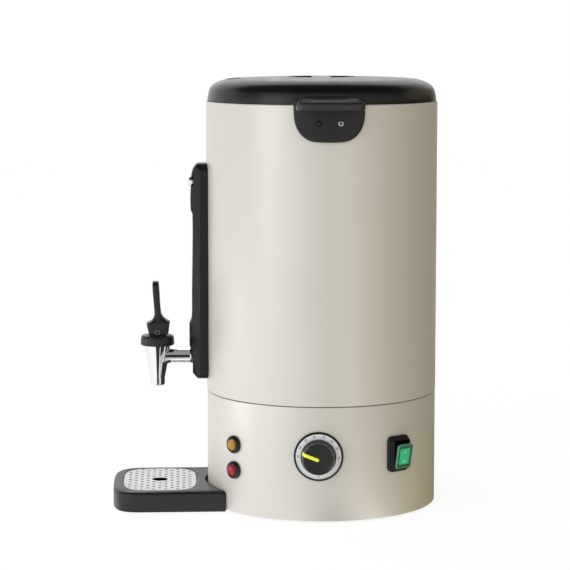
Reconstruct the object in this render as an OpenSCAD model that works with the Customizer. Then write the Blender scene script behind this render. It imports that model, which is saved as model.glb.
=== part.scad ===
// Hot water urn: a double-walled cylindrical boiler with a lift-off lid,
// a sight gauge with a lever tap, a heated base and a pull-out drip tray.
// +Z is up, the origin is on the body's axis at the level it stands on,
// the tap and the tray point along -X, and the two handles along +Y and -Y.

/* [Body] */
// Outer radius of the painted jacket
body_r = 120; // [119:0.5:121]
// Height of the jacket's rim above the table
rim_z = 420; // [416:1:430]
// Height of the seam between the jacket and the heated base
seam_z = 118; // [116:0.5:119]
// Thickness of the painted steel
wall = 0.8; // [0.6:0.1:1]
// Outer radius of the stainless inner tank
tank_r = 110; // [109:0.5:111]

/* [Lid] */
// Height of the lid above the rim
lid_h = 25; // [24:0.5:27]
// Radius of the round grip recess
grip_r = 35.5; // [32:0.5:37]
// Width of the bar across the grip recess
grip_bar_w = 19; // [16:0.5:22]

/* [Handles] */
// How far the grip reaches from the body's axis
handle_reach = 151; // [147:0.5:153]
// Half width of the grip shelf
handle_half_w = 33.7; // [32:0.1:34]

/* [Controls] */
// Direction of the thermostat dial round the body, in degrees
dial_az = -94.9; // [-98:0.1:-90]
// Height of the dial's centre
dial_z = 68.6; // [66:0.2:71]
// Direction of the rocker switch, in degrees
switch_az = -53.4; // [-56:0.1:-48]
// Height of the switch's centre
switch_z = 66.6; // [63:0.2:68]
// Direction of the two signal lamps, in degrees
lamp_az = -141.3; // [-145:0.1:-138]
// Height of the upper lamp
lamp_hi_z = 73; // [71:0.5:76]
// Height of the lower lamp
lamp_lo_z = 46.5; // [44:0.5:48]
// Angle of the knob's pointer at rest, counted from the right
pointer_deg = 159; // [150:1:170]

/* [Tap] */
// Distance from the body's axis to the tap's axis
tap_x = 172; // [170:0.5:174]
// Height of the spout's tip
spout_z = 123; // [121:0.1:124]
// Height of the shank's axis
shank_z = 153.2; // [152:0.1:154]
// Radius of the outlet bore
outlet_r = 4.5; // [4:0.1:4.8]

/* [Drip tray] */
// Height of the tray's top face
tray_h = 22; // [21.5:0.1:23]
// Half width of the tray
tray_half_w = 64; // [62:0.5:65]
// How far the tray's front lies from the body's axis
tray_front = 219; // [217:0.5:221]
// Radius of the small drain holes in the grate
drain_r = 1.65; // [1.3:0.05:1.8]

/* [Hidden] */
$fn = 96;
base_r = body_r - 0.3;           // outer radius of the base ring
base_in = base_r - wall;         // inner radius of the base ring
shell_in = body_r - wall;        // inner radius of the jacket
tank_z = 124;                    // underside of the tank
tank_in = tank_r - wall;
lid_z = rim_z + 0.5;             // lower edge of the lid
lid_top = rim_z + lid_h;
screw_z = rim_z - 18;            // height of the handle screws
plate_z0 = 3;                    // underside of the base plate
gauge_x = 126.5;                 // distance from the axis to the gauge tube
pin_z = 179.4;                   // height of the lever's pin
bonnet_z = 165.3;                // lower edge of the bonnet
grate_x = 170.3;                 // centre of the grate
grate_a = 38;                    // half length of the grate
grate_b = 54.5;                  // half width of the grate
sw_pivot = 1;                    // the rocker's pivot, outward from the body's radius
sw_tilt = 10;                    // tilt of the rocker at rest

// Points of an arc
function arc(cx, cy, r, a0, a1, n) = [for (i = [0:n]) [cx + r * cos(a0 + (a1 - a0) * i / n), cy + r * sin(a0 + (a1 - a0) * i / n)]];
// Points of a rounded rectangle round the origin
function rrect(w, h, r, n = 5) = concat(arc(w / 2 - r, h / 2 - r, r, 0, 90, n), arc(-w / 2 + r, h / 2 - r, r, 90, 180, n),
    arc(-w / 2 + r, -h / 2 + r, r, 180, 270, n), arc(w / 2 - r, -h / 2 + r, r, 270, 360, n));
// Points of a rounded outline between a rectangle and an ellipse
function superell(a, b, e, n) = [for (i = [0:n - 1]) let (t = 360 * i / n)
    [a * sign(cos(t)) * pow(abs(cos(t)), 2 / e), b * sign(sin(t)) * pow(abs(sin(t)), 2 / e)]];
// Mirrors a half outline, given as [half width, height] from the bottom up, to a whole one
function both(p) = concat(p, [for (i = [len(p) - 1:-1:0]) [-p[i][0], p[i][1]]]);
// Plan outline of the tray, drawn in by d all round
function tray_outline(d) = concat([[-100, -(tray_half_w - d)]],
    [for (i = [0:32]) let (t = -90 + 180 * i / 32)
        [-(tray_front - 40) - (40 - d) * pow(abs(cos(t)), 0.5), (tray_half_w - d) * sign(sin(t)) * pow(abs(sin(t)), 0.5)]],
    [[-100, tray_half_w - d]]);

// Places a child that is modelled with +X outward at a direction, radius and height on the body
module at(az, r, z) { rotate([0, 0, az]) translate([r, 0, z]) children(); }
// Extrudes an outline drawn in Y and Z along X
module xprism(x0, x1) { translate([x0, 0, 0]) rotate([90, 0, 90]) linear_extrude(x1 - x0) children(); }
// Extrudes an outline drawn in X and Z along Y
module yprism(y0, y1) { translate([0, y1, 0]) rotate([90, 0, 0]) linear_extrude(y1 - y0) children(); }
// A rod along X
module xrod(x0, x1, r) { translate([x0, 0, 0]) rotate([0, 90, 0]) cylinder(r = r, h = x1 - x0); }
// A turned piece whose profile is [radius, distance outward]
module xturn(pts) { rotate([0, 90, 0]) rotate_extrude() polygon(pts); }
// A wire swept along a route, with a ring of points square to it at each step
module wire(pts, r) {
    n = len(pts); k8 = [0:7];
    rings = [for (i = [0:n - 1]) let (d = pts[min(i + 1, n - 1)] - pts[max(i - 1, 0)], t = d / norm(d), c = cross(t, [1, -0.9, 0.1]), u = c / norm(c), v = cross(t, u))
        for (k = k8) pts[i] + r * (cos(45 * k) * u + sin(45 * k) * v)];
    polyhedron(rings, concat([[for (k = k8) k]],
        [for (i = [0:n - 2], k = k8) each [[i * 8 + k, (i + 1) * 8 + k, i * 8 + (k + 1) % 8],
            [(i + 1) * 8 + k, (i + 1) * 8 + (k + 1) % 8, i * 8 + (k + 1) % 8]]],
        [[for (k = [7:-1:0]) (n - 1) * 8 + k]]));
}

// ---------- body ----------
module outer_shell() {
    color([0.83, 0.81, 0.76]) difference() {
        rotate_extrude() polygon([[shell_in, seam_z + 1], [body_r - 0.4, seam_z + 0.6], [body_r, seam_z + 1.2],
            [body_r, rim_z - 0.7], [body_r - 0.6, rim_z], [body_r - 3.2, rim_z], [body_r - 3.2, rim_z - wall], [shell_in, rim_z - wall]]);
        translate([0, 0, shank_z]) xrod(-body_r - 5, -body_r + 6, 8.2);
        translate([0, 0, 318]) xrod(-body_r - 5, -body_r + 6, 4.6);
        translate([0, 0, 336.3]) xrod(-body_r - 5, -body_r + 6, 2.4);
        for (az = [-90, 90], y = [-11, 11]) at(az, 0, screw_z) translate([0, y, 0]) xrod(body_r - 8, body_r + 5, 2.3);
    }
}
module base_ring() {
    color([0.83, 0.81, 0.76]) difference() {
        rotate_extrude() polygon([[tank_r, 5], [base_in, 5], [base_in, 2], [base_r, 2], [base_r, seam_z - 0.4],
            [base_r - 0.3, seam_z - 0.1], [base_in, seam_z - 0.1], [base_in, 6], [tank_r, 6]]);
        translate([-body_r - 3, -26, 0]) cube([10, 52, 3.6]);
        at(dial_az, body_r, dial_z) { xrod(-6, 4, 5.3); for (y = [-15, 15]) translate([0, y, 0]) xrod(-8, 4, 1.8); }
        at(switch_az, body_r, switch_z) xprism(-6, 4) polygon(rrect(22.4, 30.4, 1));
        at(lamp_az, body_r, lamp_hi_z) xrod(-6, 4, 7.1);
        at(lamp_az, body_r, lamp_lo_z) xrod(-6, 4, 7.1);
        at(50, body_r, 30) xrod(-6, 4, 8.2);
        for (a = [45, 135, 225, 315]) at(a, 114.3, 4) cylinder(r = 2.1, h = 4);
    }
}
module support_ring() {
    color([0.12, 0.12, 0.12]) difference() {
        rotate_extrude() polygon([[104, tank_z - 4], [104, tank_z], [116, tank_z], [116, tank_z + 5], [shell_in - 0.05, tank_z + 5],
            [shell_in - 0.05, seam_z + 0.5], [body_r - 0.7, seam_z + 0.5], [body_r - 0.7, seam_z], [base_in - 0.05, seam_z],
            [base_in - 0.05, seam_z - 10], [116.6, seam_z - 10], [116.6, tank_z - 4]]);
    }
}
module base_plate() {
    color([0.15, 0.15, 0.15]) difference() {
        union() {
            translate([0, 0, plate_z0]) cylinder(r = base_in - 0.15, h = 2);
            translate([0, 0, 5]) difference() { cylinder(r = tank_r - 1, h = 5); translate([0, 0, -1]) cylinder(r = tank_r - 3, h = 8); }
        }
        for (a = [45, 135, 225, 315]) at(a, 114.3, 2) cylinder(r = 2.1, h = 4);
        for (i = [0:6]) translate([-24 + i * 8, -30, 2]) cube([3, 60, 5]);
    }
}
module foot_ring() {
    color([0.08, 0.08, 0.08]) rotate([0, 0, -164]) rotate_extrude(angle = 328) polygon([[100, 0.6], [100.6, 0], [107.4, 0], [108, 0.6], [108, 3], [100, 3]]);
}
module base_screws() {
    color("silver") for (a = [45, 135, 225, 315]) at(a, 114.3, 0) difference() {
        union() { translate([0, 0, 1.2]) cylinder(r1 = 2.6, r2 = 3.6, h = 0.6); translate([0, 0, 1.8]) cylinder(r = 3.6, h = 1.2); translate([0, 0, 2.9]) cylinder(r = 1.9, h = 7.3); }
        translate([-2, -0.4, 1.1]) cube([4, 0.8, 0.9]);
        translate([-0.4, -2, 1.1]) cube([0.8, 4, 0.9]);
    }
}
module base_nuts() {
    color("silver") for (a = [45, 135, 225, 315]) at(a, 114.3, 6) difference() { cylinder(r = 3.9, h = 3.2, $fn = 6); translate([0, 0, -1]) cylinder(r = 1.95, h = 6); }
}
module inner_tank() {
    color([0.78, 0.79, 0.8]) difference() {
        rotate_extrude() polygon([[0, tank_z], [tank_r, tank_z], [tank_r, rim_z - 3.4], [tank_r + 5.8, rim_z - 3.4], [tank_r + 5.8, rim_z - 2.6],
            [tank_in, rim_z - 2.6], [tank_in, tank_z + wall], [0, tank_z + wall]]);
        translate([0, 0, shank_z]) xrod(-tank_r - 5, -tank_r + 5, 7.7);
        translate([0, 0, 318]) xrod(-tank_r - 5, -tank_r + 5, 4.3);
    }
}
module top_collar() {
    color([0.1, 0.1, 0.1]) rotate_extrude() polygon([[tank_r + 0.2, rim_z - 2.6], [shell_in - 0.3, rim_z - 2.6], [shell_in - 0.3, rim_z - 0.9],
        [body_r - 3.3, rim_z - 0.9], [body_r - 3.3, rim_z + 0.2], [tank_r + 0.2, rim_z + 0.2]]);
}

// ---------- heating ----------
module heat_spreader() { color([0.75, 0.76, 0.78]) translate([0, 0, tank_z - 4]) cylinder(r = 82, h = 4); }
module heating_element() {
    color([0.45, 0.42, 0.4]) translate([0, 0, tank_z - 8]) rotate([0, 0, 61]) {
        rotate_extrude(angle = 338) translate([62, 0]) circle(r = 3.95, $fn = 48);
        for (a = [4, 334]) rotate([0, 0, a]) translate([62, 0, -20]) cylinder(r = 2.6, h = 20);
    }
}
module boil_dry_cutout() {
    color([0.85, 0.83, 0.78]) translate([0, 0, tank_z - 4]) {
        translate([0, 0, -3]) cylinder(r = 9, h = 3);
        translate([0, 0, -9]) cylinder(r = 7.5, h = 6.1);
        for (x = [-5, 4]) translate([x, -2, -12.5]) cube([1, 4, 4]);
    }
}
module sensor_bulb() {
    color([0.72, 0.5, 0.35]) {
        translate([25, -40, tank_z - 7.1]) rotate([-90, 0, 0]) cylinder(r = 3, h = 50);
        wire([[25, -40, 117], [25, -49, 116], [24, -54, 109], [22, -57, 98], [12, -68, 88], [0, -78, 84], [-7.2, -85.2, 80]], 0.9);
    }
}
module heat_shield() {
    color([0.7, 0.71, 0.72]) difference() {
        rotate_extrude() polygon([[0, 105], [116.4, 105], [116.4, 112], [115.6, 112], [115.6, 105.8], [0, 105.8]]);
        for (a = [65, 35]) rotate([0, 0, a]) translate([62, 0, 100]) cylinder(r = 6, h = 10);
        translate([23.6, -54.9, 100]) cylinder(r = 5, h = 10);
        cylinder(r = 3, h = 120);
    }
}

// ---------- controls ----------
module thermostat_body() {
    color([0.8, 0.78, 0.7]) at(dial_az, body_r, dial_z) difference() {
        union() {
            xprism(-34, -9) polygon(rrect(34, 34, 3));
            xrod(-9.1, 1.3, 5);
            xprism(-9.1, -3) polygon(rrect(38, 14, 2));
        }
        xrod(-22, 3, 3.08);
        for (y = [-15, 15]) translate([0, y, 0]) xrod(-8, -2, 1.6);
    }
}
module thermostat_shaft() {
    color([0.7, 0.68, 0.6]) at(dial_az, body_r, dial_z) difference() {
        xrod(-21, 13.6, 3);
        translate([6, -4, 1.8]) cube([9, 8, 4]);
    }
}
module dial_bezel() {
    color([0.08, 0.08, 0.08]) difference() {
        at(dial_az, body_r, dial_z) difference() {
            xturn([[5.2, -4], [25, -4], [25, 1.5], [24.6, 2.1], [22.95, 2.1], [22.95, 1.5], [5.2, 1.5]]);
        }
        cylinder(r = base_r + 0.02, $fn = 480, h = 130);
    }
}
module dial_plate() { color([0.82, 0.83, 0.84]) at(dial_az, body_r, dial_z) xturn([[5.2, 1.5], [22.9, 1.5], [22.9, 1.9], [5.2, 1.9]]); }
module pointer_prism(g) {
    rotate([pointer_deg - 90, 0, 0]) translate([0, -1.75 - g, 0]) rotate([90, 0, 0]) mirror([0, 0, 1]) linear_extrude(3.5 + 2 * g)
        polygon([[18.6 - g, -1.1 - g], [21.1 + g, -1.1 - g], [21.1 + g, 13], [19.9 + g, 14.9 + g], [12 - g, 17 + g], [12 - g, 14.4 - g], [18.6 - g, 12.2 - g]]);
}
module control_knob() {
    color([0.1, 0.1, 0.1]) at(dial_az, body_r, dial_z) difference() {
        xturn([[3.9, 2.4], [17.9, 2.4], [17.9, 6.5], [17.4, 9], [15.7, 19], [15, 20.2], [14.2, 20.8], [13.4, 20.4], [12.6, 20], [0, 19.8], [0, 14], [3.05, 14], [3.05, 5], [3.9, 5]]);
        pointer_prism(0.02);
    }
}
module knob_pointer() {
    color([0.95, 0.93, 0.2]) at(dial_az, body_r, dial_z) pointer_prism(0);
}
module switch_housing() {
    color([0.1, 0.1, 0.1]) difference() {
        at(switch_az, body_r, switch_z) difference() {
            union() {
                xprism(-2, 3.2) polygon(rrect(26.8, 36.8, 5));
                xprism(3.2, 5.4) polygon(rrect(24.2, 32.8, 4));
                xprism(5.4, 7.2) polygon(rrect(22.6, 30.8, 3.4));
            }
            xprism(1, 9) polygon(rrect(21, 28.8, 2));
            xprism(-3, 1.1) polygon(rrect(19.8, 27.8, 0.8));
            translate([sw_pivot, 0, 0]) rotate([90, 0, 0]) cylinder(r = 1.4, h = 21.6, center = true);
        }
        cylinder(r = base_r + 0.02, $fn = 480, h = 130);
    }
    color([0.12, 0.12, 0.12]) at(switch_az, body_r, switch_z) difference() {
        xprism(-26, 1) polygon(rrect(21.8, 29.8, 0.8));
        xprism(-9, 2) polygon(rrect(19.8, 27.8, 0.8));
        translate([sw_pivot, 0, 0]) rotate([90, 0, 0]) cylinder(r = 1.4, h = 21.6, center = true);
    }
    color("silver") at(switch_az, body_r, switch_z) for (z = [-9, 0, 9]) translate([-33, -3, z - 0.4]) cube([7.1, 6, 0.8]);
}
module rocker_pose() { at(switch_az, body_r, switch_z) translate([sw_pivot, 0, 0]) rotate([0, sw_tilt, 0]) children(); }
module switch_rocker() {
    color([0.1, 0.6, 0.4]) rocker_pose() difference() {
        union() {
            yprism(-9.6, 9.6) polygon([[-4.5, -3], [-4.5, 3], [0, 11.8], [5.6, 12.2], [5.6, -12.2], [0, -11.8]]);
            xprism(5.5, 10.3) polygon(rrect(20.2, 25.6, 2.6));
            rotate([90, 0, 0]) cylinder(r = 1.2, h = 21, center = true);
        }
        xprism(9.2, 11) polygon(rrect(13.4, 17.4, 1.2));
    }
}
module rocker_face() { color([0.2, 0.8, 0.5]) rocker_pose() xprism(9.2, 10.2) polygon(rrect(13.2, 17.2, 1.1)); }
module lamp(z) { at(lamp_az, body_r, z) children(); }
module lamp_bezels() {
    color([0.06, 0.06, 0.06]) difference() {
        for (z = [lamp_hi_z, lamp_lo_z]) lamp(z)
            xturn([[5.85, -18], [7, -18], [7, -2.5], [9.25, -2.5], [9.25, 1.2], [8.9, 2.6], [8, 3.7], [6.8, 4.1], [5.85, 3.9]]);
        difference() { cylinder(r = base_r + 0.02, $fn = 480, h = 130); for (z = [lamp_hi_z, lamp_lo_z]) lamp(z) xrod(-20, 3, 7.02); }
    }
}
module lens(z) { lamp(z) xturn([[0, -8], [5.8, -8], [5.8, 3.6], [5.3, 4.6], [4.2, 5.4], [2.2, 6], [0, 6.2]]); }
module amber_lens() { color([0.9, 0.5, 0.1]) lens(lamp_hi_z); }
module red_lens() { color([0.8, 0.1, 0.15]) lens(lamp_lo_z); }
module lamp_nuts() {
    color([0.1, 0.1, 0.1]) for (z = [lamp_hi_z, lamp_lo_z]) lamp(z) rotate([0, 90, 0]) translate([0, 0, -5.4]) difference() {
        cylinder(r = 10.4, h = 3.4, $fn = 6);
        translate([0, 0, -1]) cylinder(r = 7.05, h = 6);
    }
}
module cable_gland() {
    color([0.1, 0.1, 0.1]) difference() {
        at(50, body_r, 30) difference() {
            union() {
                xrod(-16, 6, 8);
                rotate([0, 90, 0]) translate([0, 0, -2]) cylinder(r = 11, h = 6, $fn = 6);
                xturn([[0, 6], [8.6, 6], [8.6, 9], [7.6, 12], [6.2, 13.4], [0, 13.4]]);
            }
            xrod(-18, 20, 3.6);
        }
        difference() { cylinder(r = base_r + 0.02, $fn = 480, h = 130); at(50, body_r, 30) xrod(-20, 3, 8.02); }
    }
}
module gland_nut() {
    color([0.12, 0.12, 0.12]) at(50, body_r, 30) rotate([0, 90, 0]) translate([0, 0, -6.4]) difference() {
        cylinder(r = 11, h = 4.4, $fn = 6);
        translate([0, 0, -1]) cylinder(r = 8.05, h = 7);
    }
}
module terminal_block() {
    color([0.9, 0.89, 0.85]) rotate([0, 0, 50]) translate([52, 0, 5]) difference() {
        translate([-9, -20, 0]) cube([18, 40, 15]);
        for (y = [-13, 0, 13]) translate([0, y, 7]) { translate([-5, 0, 0]) cylinder(r = 2, h = 10); translate([5, 0, 0]) cylinder(r = 2, h = 10); }
    }
}
module internal_wiring() {
    color([0.5, 0.2, 0.15]) {
        // mains lead from the gland to the terminal block
        wire([[66.4, 79.2, 30], [58, 69, 30], [46, 55, 29], [38, 46, 27], [36.6, 43.7, 20.1]], 1.3);
        // terminal block to the switch
        wire([[40.2, 27.6, 20.1], [40.2, 27, 27], [44, 8, 32], [49, -24, 48], [50, -50, 59], [50, -62, switch_z - 2.1], [53.2, -67.4, switch_z]], 1.3);
        // switch to the thermostat
        wire([[53.2, -67.4, switch_z + 9], [49.6, -62.6, switch_z + 10.5], [38, -64, 80], [18, -71, 78], [5, -76, 74], [-1.6, -81, 71], [-2.8, -85.6, 70]], 1.3);
        // thermostat to the heating element
        wire([[-8, -85, 60], [-6, -78, 58], [0, -60, 56], [14, -10, 62], [22, 40, 84], [26.2, 56.2, 91], [26.2, 56.2, 95.9]], 1.3);
        // terminal block to the other end of the element
        wire([[46.6, 35.3, 20.1], [46.8, 35.3, 30], [50.4, 35.5, 80], [50.8, 35.6, 95.9]], 1.3);
    }
}

// ---------- sight gauge ----------
module gauge_side(dx) {
    polygon([[-110, 130.4], [-129.3, 130.4], [-135.2, 136.9], [-135.2, 153], [-136.3, 160.2], [-138.5, 165.2], [-138.5, 188], [-136.1, 193.3],
        [-135.7, 200], [-135.6, 224], [-135, 255], [-134.6, 286], [-134.8, 303.6], [-136.6, 307.6], [-136.9, 317], [-136.4, 332.5],
        [-135.9, 341.8], [-135.2, 346], [-133.9, 350.1], [-131.9, 353.2], [-128.4, 355.9], [-110, 355.9]]);
}
module gauge_housing() {
    color([0.13, 0.13, 0.13]) difference() {
        intersection() {
            translate([0, 0, 120]) linear_extrude(245) polygon([[-112, -18.2], [-127.4, -18.2], [-138.6, -7.9], [-138.6, 7.9], [-127.4, 18.2], [-112, 18.2]]);
            yprism(-20, 20) gauge_side(0);
            translate([0, 0, 243.15]) xprism(-140, -110) polygon(rrect(36.4, 225.5, 10));
        }
        cylinder(r = body_r + 0.05, h = 440);
        translate([-132, -8.2, 146]) cube([20, 16.4, 180]);
        translate([-133.4, -8.2, 146]) cube([20, 16.4, 48]);
        translate([-133.4, -8.2, 304]) cube([20, 16.4, 22]);
        translate([0, 0, shank_z]) xrod(-134, -110, 11.3);
        translate([0, 0, shank_z]) xrod(-142, -110, 7.8);
        translate([-140, -5, 203]) cube([10, 10, 92]);
        translate([-140, -7.5, 200]) cube([7.1, 15, 98]);
        translate([0, 0, 336.3]) { xrod(-142, -110, 2.4); translate([-142, -20, -5.9]) cube([8.4, 40, 11.8]); }
    }
}
module gauge_tube() {
    color([0.9, 0.95, 1, 0.4]) translate([-gauge_x, 0, 165]) difference() { cylinder(r = 5, h = 152); translate([0, 0, -1]) cylinder(r = 3.8, h = 154); }
}
module gauge_window() { color([0.9, 0.95, 1, 0.4]) translate([-134.45, -7.4, 200.1]) cube([1.5, 14.8, 97.8]); }
module gauge_seals() {
    color([0.75, 0.2, 0.15]) for (z = [170, 309.4]) translate([-gauge_x, 0, z]) difference() { cylinder(r = 6.35, h = 2.6); translate([0, 0, -1]) cylinder(r = 5.02, h = 5); }
}
module gauge_tee() {
    color([0.75, 0.75, 0.76]) difference() {
        union() {
            translate([0, 0, shank_z]) xrod(-133.6, -120.8, 11);
            translate([-gauge_x, 0, shank_z]) cylinder(r = 6.2, h = 170 - shank_z);
        }
        cylinder(r = body_r + 0.05, h = 200);
        translate([0, 0, shank_z]) xrod(-140, -110, 7.55);
        translate([-gauge_x, 0, 165]) cylinder(r = 5.05, h = 10);
        translate([-gauge_x, 0, shank_z]) cylinder(r = 3, h = 20);
    }
}
module gauge_elbow() {
    color([0.75, 0.75, 0.76]) difference() {
        union() {
            translate([0, 0, 318]) xrod(-gauge_x, -104, 4.2);
            translate([-gauge_x, 0, 312]) cylinder(r = 6.2, h = 12);
        }
        translate([-gauge_x, 0, 311]) cylinder(r = 5.05, h = 6);
        translate([-gauge_x, 0, 311]) cylinder(r = 2.2, h = 8);
        translate([0, 0, 318]) xrod(-gauge_x, -100, 2.2);
    }
}
module gauge_screw() {
    color("silver") translate([0, 0, 336.3]) difference() {
        union() { mirror([1, 0, 0]) xturn([[0, 113], [2.2, 113], [2.2, 133.6], [5.6, 133.6], [5.6, 136.6], [5.1, 138], [3.6, 138.9], [0, 139.3]]); xrod(-118.8, -115.6, 4.2); }
        translate([-140, -0.6, -3.4]) cube([1.9, 1.2, 6.8]);
        translate([-140, -3.4, -0.6]) cube([1.9, 6.8, 1.2]);
    }
}

// ---------- tap ----------
module tap_axis() { translate([-tap_x, 0, 0]) children(); }
module tap_body() {
    color([0.8, 0.81, 0.83]) difference() {
        union() {
            tap_axis() rotate_extrude() polygon([[0, spout_z], [7, spout_z], [7.5, spout_z + 0.8], [7.7, 131], [9.6, 141], [11.6, 151.5],
                [13.9, 163.6], [14.1, bonnet_z - 0.1], [12.6, bonnet_z - 0.1], [12.6, 171.2], [0, 171.2]]);
            translate([0, 0, shank_z]) xrod(-tap_x + 4, -98, 7.5);
        }
        tap_axis() { translate([0, 0, 110]) cylinder(r = outlet_r, h = 40); translate([0, 0, 141]) cylinder(r = 7.4, h = 7); translate([0, 0, 147.5]) cylinder(r = 9, h = 30); }
        translate([0, 0, shank_z]) xrod(-tap_x, -90, 4.5);
        translate([-gauge_x, 0, shank_z]) cylinder(r = 2.5, h = 12);
    }
}
module tap_nut() { color([0.75, 0.75, 0.76]) translate([0, 0, shank_z]) difference() { translate([-106, 0, 0]) rotate([0, 90, 0]) cylinder(r = 13.5, h = 6.5, $fn = 6); xrod(-110, -90, 7.55); } }
module tap_washer() { color([0.75, 0.2, 0.15]) translate([0, 0, shank_z]) difference() { xrod(-108, -106.05, 13); xrod(-112, -90, 7.55); } }
module tap_bonnet() {
    color([0.1, 0.1, 0.1]) tap_axis() rotate_extrude() polygon([[12.7, bonnet_z], [17.1, bonnet_z], [17.75, bonnet_z + 0.9], [17.4, 172], [16.7, 174],
        [15.4, 175.2], [14, 175.5], [9.8, 175.5], [9.8, 176.3], [3.7, 176.3], [3.7, 175.4], [2.58, 175.4], [2.58, 171.8], [12.7, 171.8]]);
}
module tap_lever() {
    color([0.1, 0.1, 0.1]) difference() {
        union() {
            yprism(-10, 10) polygon([[-180, 176.9], [-181.2, 177.8], [-182.4, 183], [-183.3, 188.2], [-180.5, 189.2], [-178, 191.4], [-176.2, 194.6], [-175.4, 197],
                [-167.2, 197], [-165.9, 195.2], [-164, 193.6], [-161.4, 191.5], [-158.9, 190.2], [-159, 188.9], [-159.8, 184], [-160.3, 178], [-161.4, 176.9]]);
            intersection() {
                yprism(-12, 12) polygon([[-176.4, 193], [-175.2, 198], [-175.5, 204], [-176.1, 210], [-176.5, 216], [-177, 222], [-177.1, 230.5], [-176.6, 232], [-175.6, 232.5],
                    [-171.2, 232.5], [-170.1, 231.8], [-169.7, 229], [-169.3, 222], [-168.9, 216], [-168.2, 204], [-167.6, 198], [-166.8, 193]]);
                xprism(-190, -150) polygon([[-7.6, 190], [-8.4, 205], [-9.8, 218], [-10.4, 226], [-8.6, 231], [-5, 233], [5, 233], [8.6, 231], [10.4, 226], [9.8, 218], [8.4, 205], [7.6, 190]]);
            }
        }
        translate([-tap_x, 0, pin_z]) {
            rotate([90, 0, 0]) translate([0, 0, -3]) cylinder(r = 4.4, h = 6);
            translate([-6, -3, -8]) cube([10, 6, 8]);
            rotate([90, 0, 0]) translate([0, 0, -20]) cylinder(r = 2.02, h = 40);
            for (s = [-1, 1]) translate([0, s * 10, 0]) rotate([90, 0, 0]) translate([0, 0, -0.8]) cylinder(r = 2.9, h = 1.6);
        }
    }
}
module lever_pin() {
    color("silver") translate([-tap_x, 0, pin_z]) rotate([90, 0, 0]) {
        translate([0, 0, -9.9]) cylinder(r = 2, h = 19.8);
        for (s = [-9.85, 9.25]) translate([0, 0, s]) cylinder(r = 2.8, h = 0.6);
    }
}
module valve_stem() {
    color("silver") difference() {
        tap_axis() union() {
            translate([0, 0, 146.6]) cylinder(r = 4, h = 1.2);
            translate([0, 0, 146.6]) cylinder(r = 2.5, h = pin_z - 146.6);
            translate([0, 2.7, pin_z]) rotate([90, 0, 0]) cylinder(r = 3.5, h = 5.4);
        }
        translate([-tap_x, 0, pin_z]) rotate([90, 0, 0]) translate([0, 0, -5]) cylinder(r = 2.06, h = 10);
    }
}
module seat_cup() { color([0.85, 0.85, 0.82]) tap_axis() rotate_extrude() polygon([[0, 141.4], [5.6, 141.4], [6.9, 142.2], [6.9, 145], [4.6, 146.6], [0, 146.6]]); }
module valve_spring() {
    turns = 6; steps = 84; sides = 8; cr = 5.4; wr = 0.5; z0 = 148.5; z1 = 171;
    ring = [for (i = [0:steps]) let (a = 360 * turns * i / steps, z = z0 + (z1 - z0) * i / steps) for (k = [0:sides - 1]) let (b = 360 * k / sides)
        [(cr + wr * cos(b)) * cos(a), (cr + wr * cos(b)) * sin(a), z + wr * sin(b)]];
    color("silver") tap_axis() polyhedron(ring, concat([[for (k = [0:sides - 1]) k]],
        [for (i = [0:steps - 1], k = [0:sides - 1]) each [[i * sides + k, (i + 1) * sides + k, i * sides + (k + 1) % sides],
            [(i + 1) * sides + k, (i + 1) * sides + (k + 1) % sides, i * sides + (k + 1) % sides]]],
        [[for (k = [sides - 1:-1:0]) steps * sides + k]]));
}

// ---------- handles ----------
handle_outline = both([[0, 383.2], [10, 383.4], [17.5, 384.3], [22.4, 386.2], [27, 389.6], [30.6, 394], [33.1, 399], [34.6, 404.5], [35.4, 413], [35.6, 424.6],
    [32, 426.8], [25, 428.7], [16, 430.2], [8, 430.9], [0, 431.1]]);
module shelf_plan(d) {
    w = handle_half_w - d; f = handle_reach - d;
    polygon([[112, -w], [f - 10, -w], [f - 5.6, -w + 1.2], [f - 3, -w + 4.2], [f - 1.2, -w + 13], [f - 0.3, -w + 23], [f, 0],
        [f - 0.3, w - 23], [f - 1.2, w - 13], [f - 3, w - 4.2], [f - 5.6, w - 1.2], [f - 10, w], [112, w]]);
}
module side_handle() {
    difference() {
        union() {
            intersection() {
                rotate_extrude() polygon([[115, 380], [124.4, 380], [124.4, 424], [123, 424.8], [122.6, 433], [115, 433]]);
                xprism(100, 130) polygon([for (p = handle_outline) [p[0], p[1] + rim_z - 420]]);
            }
            difference() {
                translate([0, 0, rim_z - 4.4]) linear_extrude(8) shelf_plan(0);
                intersection() {
                    translate([0, 0, rim_z - 7]) linear_extrude(7.6) shelf_plan(3);
                    difference() { cylinder(r = 200, h = 500); cylinder(r = 124.4, h = 500); }
                }
            }
        }
        cylinder(r = body_r + 0.05, h = 500);
        for (y = [-11, 11]) translate([0, y, screw_z]) { xrod(100, 130, 2.3); xrod(121.7, 130, 3.3); }
    }
}
module side_handle_right() { color([0.12, 0.12, 0.12]) at(-90, 0, 0) side_handle(); }
module side_handle_left() { color([0.12, 0.12, 0.12]) at(90, 0, 0) side_handle(); }
module handle_screws() {
    color("silver") for (az = [-90, 90], y = [-11, 11]) at(az, 0, screw_z) translate([0, y, 0]) difference() {
        union() { xrod(113.6, 121.8, 1.95); xrod(121.7, 123.6, 3.1); }
        translate([122.7, -1.8, -0.35]) cube([2, 3.6, 0.7]);
        translate([122.7, -0.35, -1.8]) cube([2, 0.7, 3.6]);
    }
}
module handle_backplates() {
    color([0.6, 0.6, 0.6]) for (az = [-90, 90]) at(az, 0, screw_z) difference() {
        intersection() {
            translate([0, 0, -9]) difference() { cylinder(r = shell_in - 0.05, h = 18); translate([0, 0, -1]) cylinder(r = shell_in - 1.8, h = 20); }
            translate([100, -19, -8]) cube([30, 38, 16]);
        }
        for (y = [-11, 11]) translate([0, y, 0]) xrod(100, 130, 2);
    }
}

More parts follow.
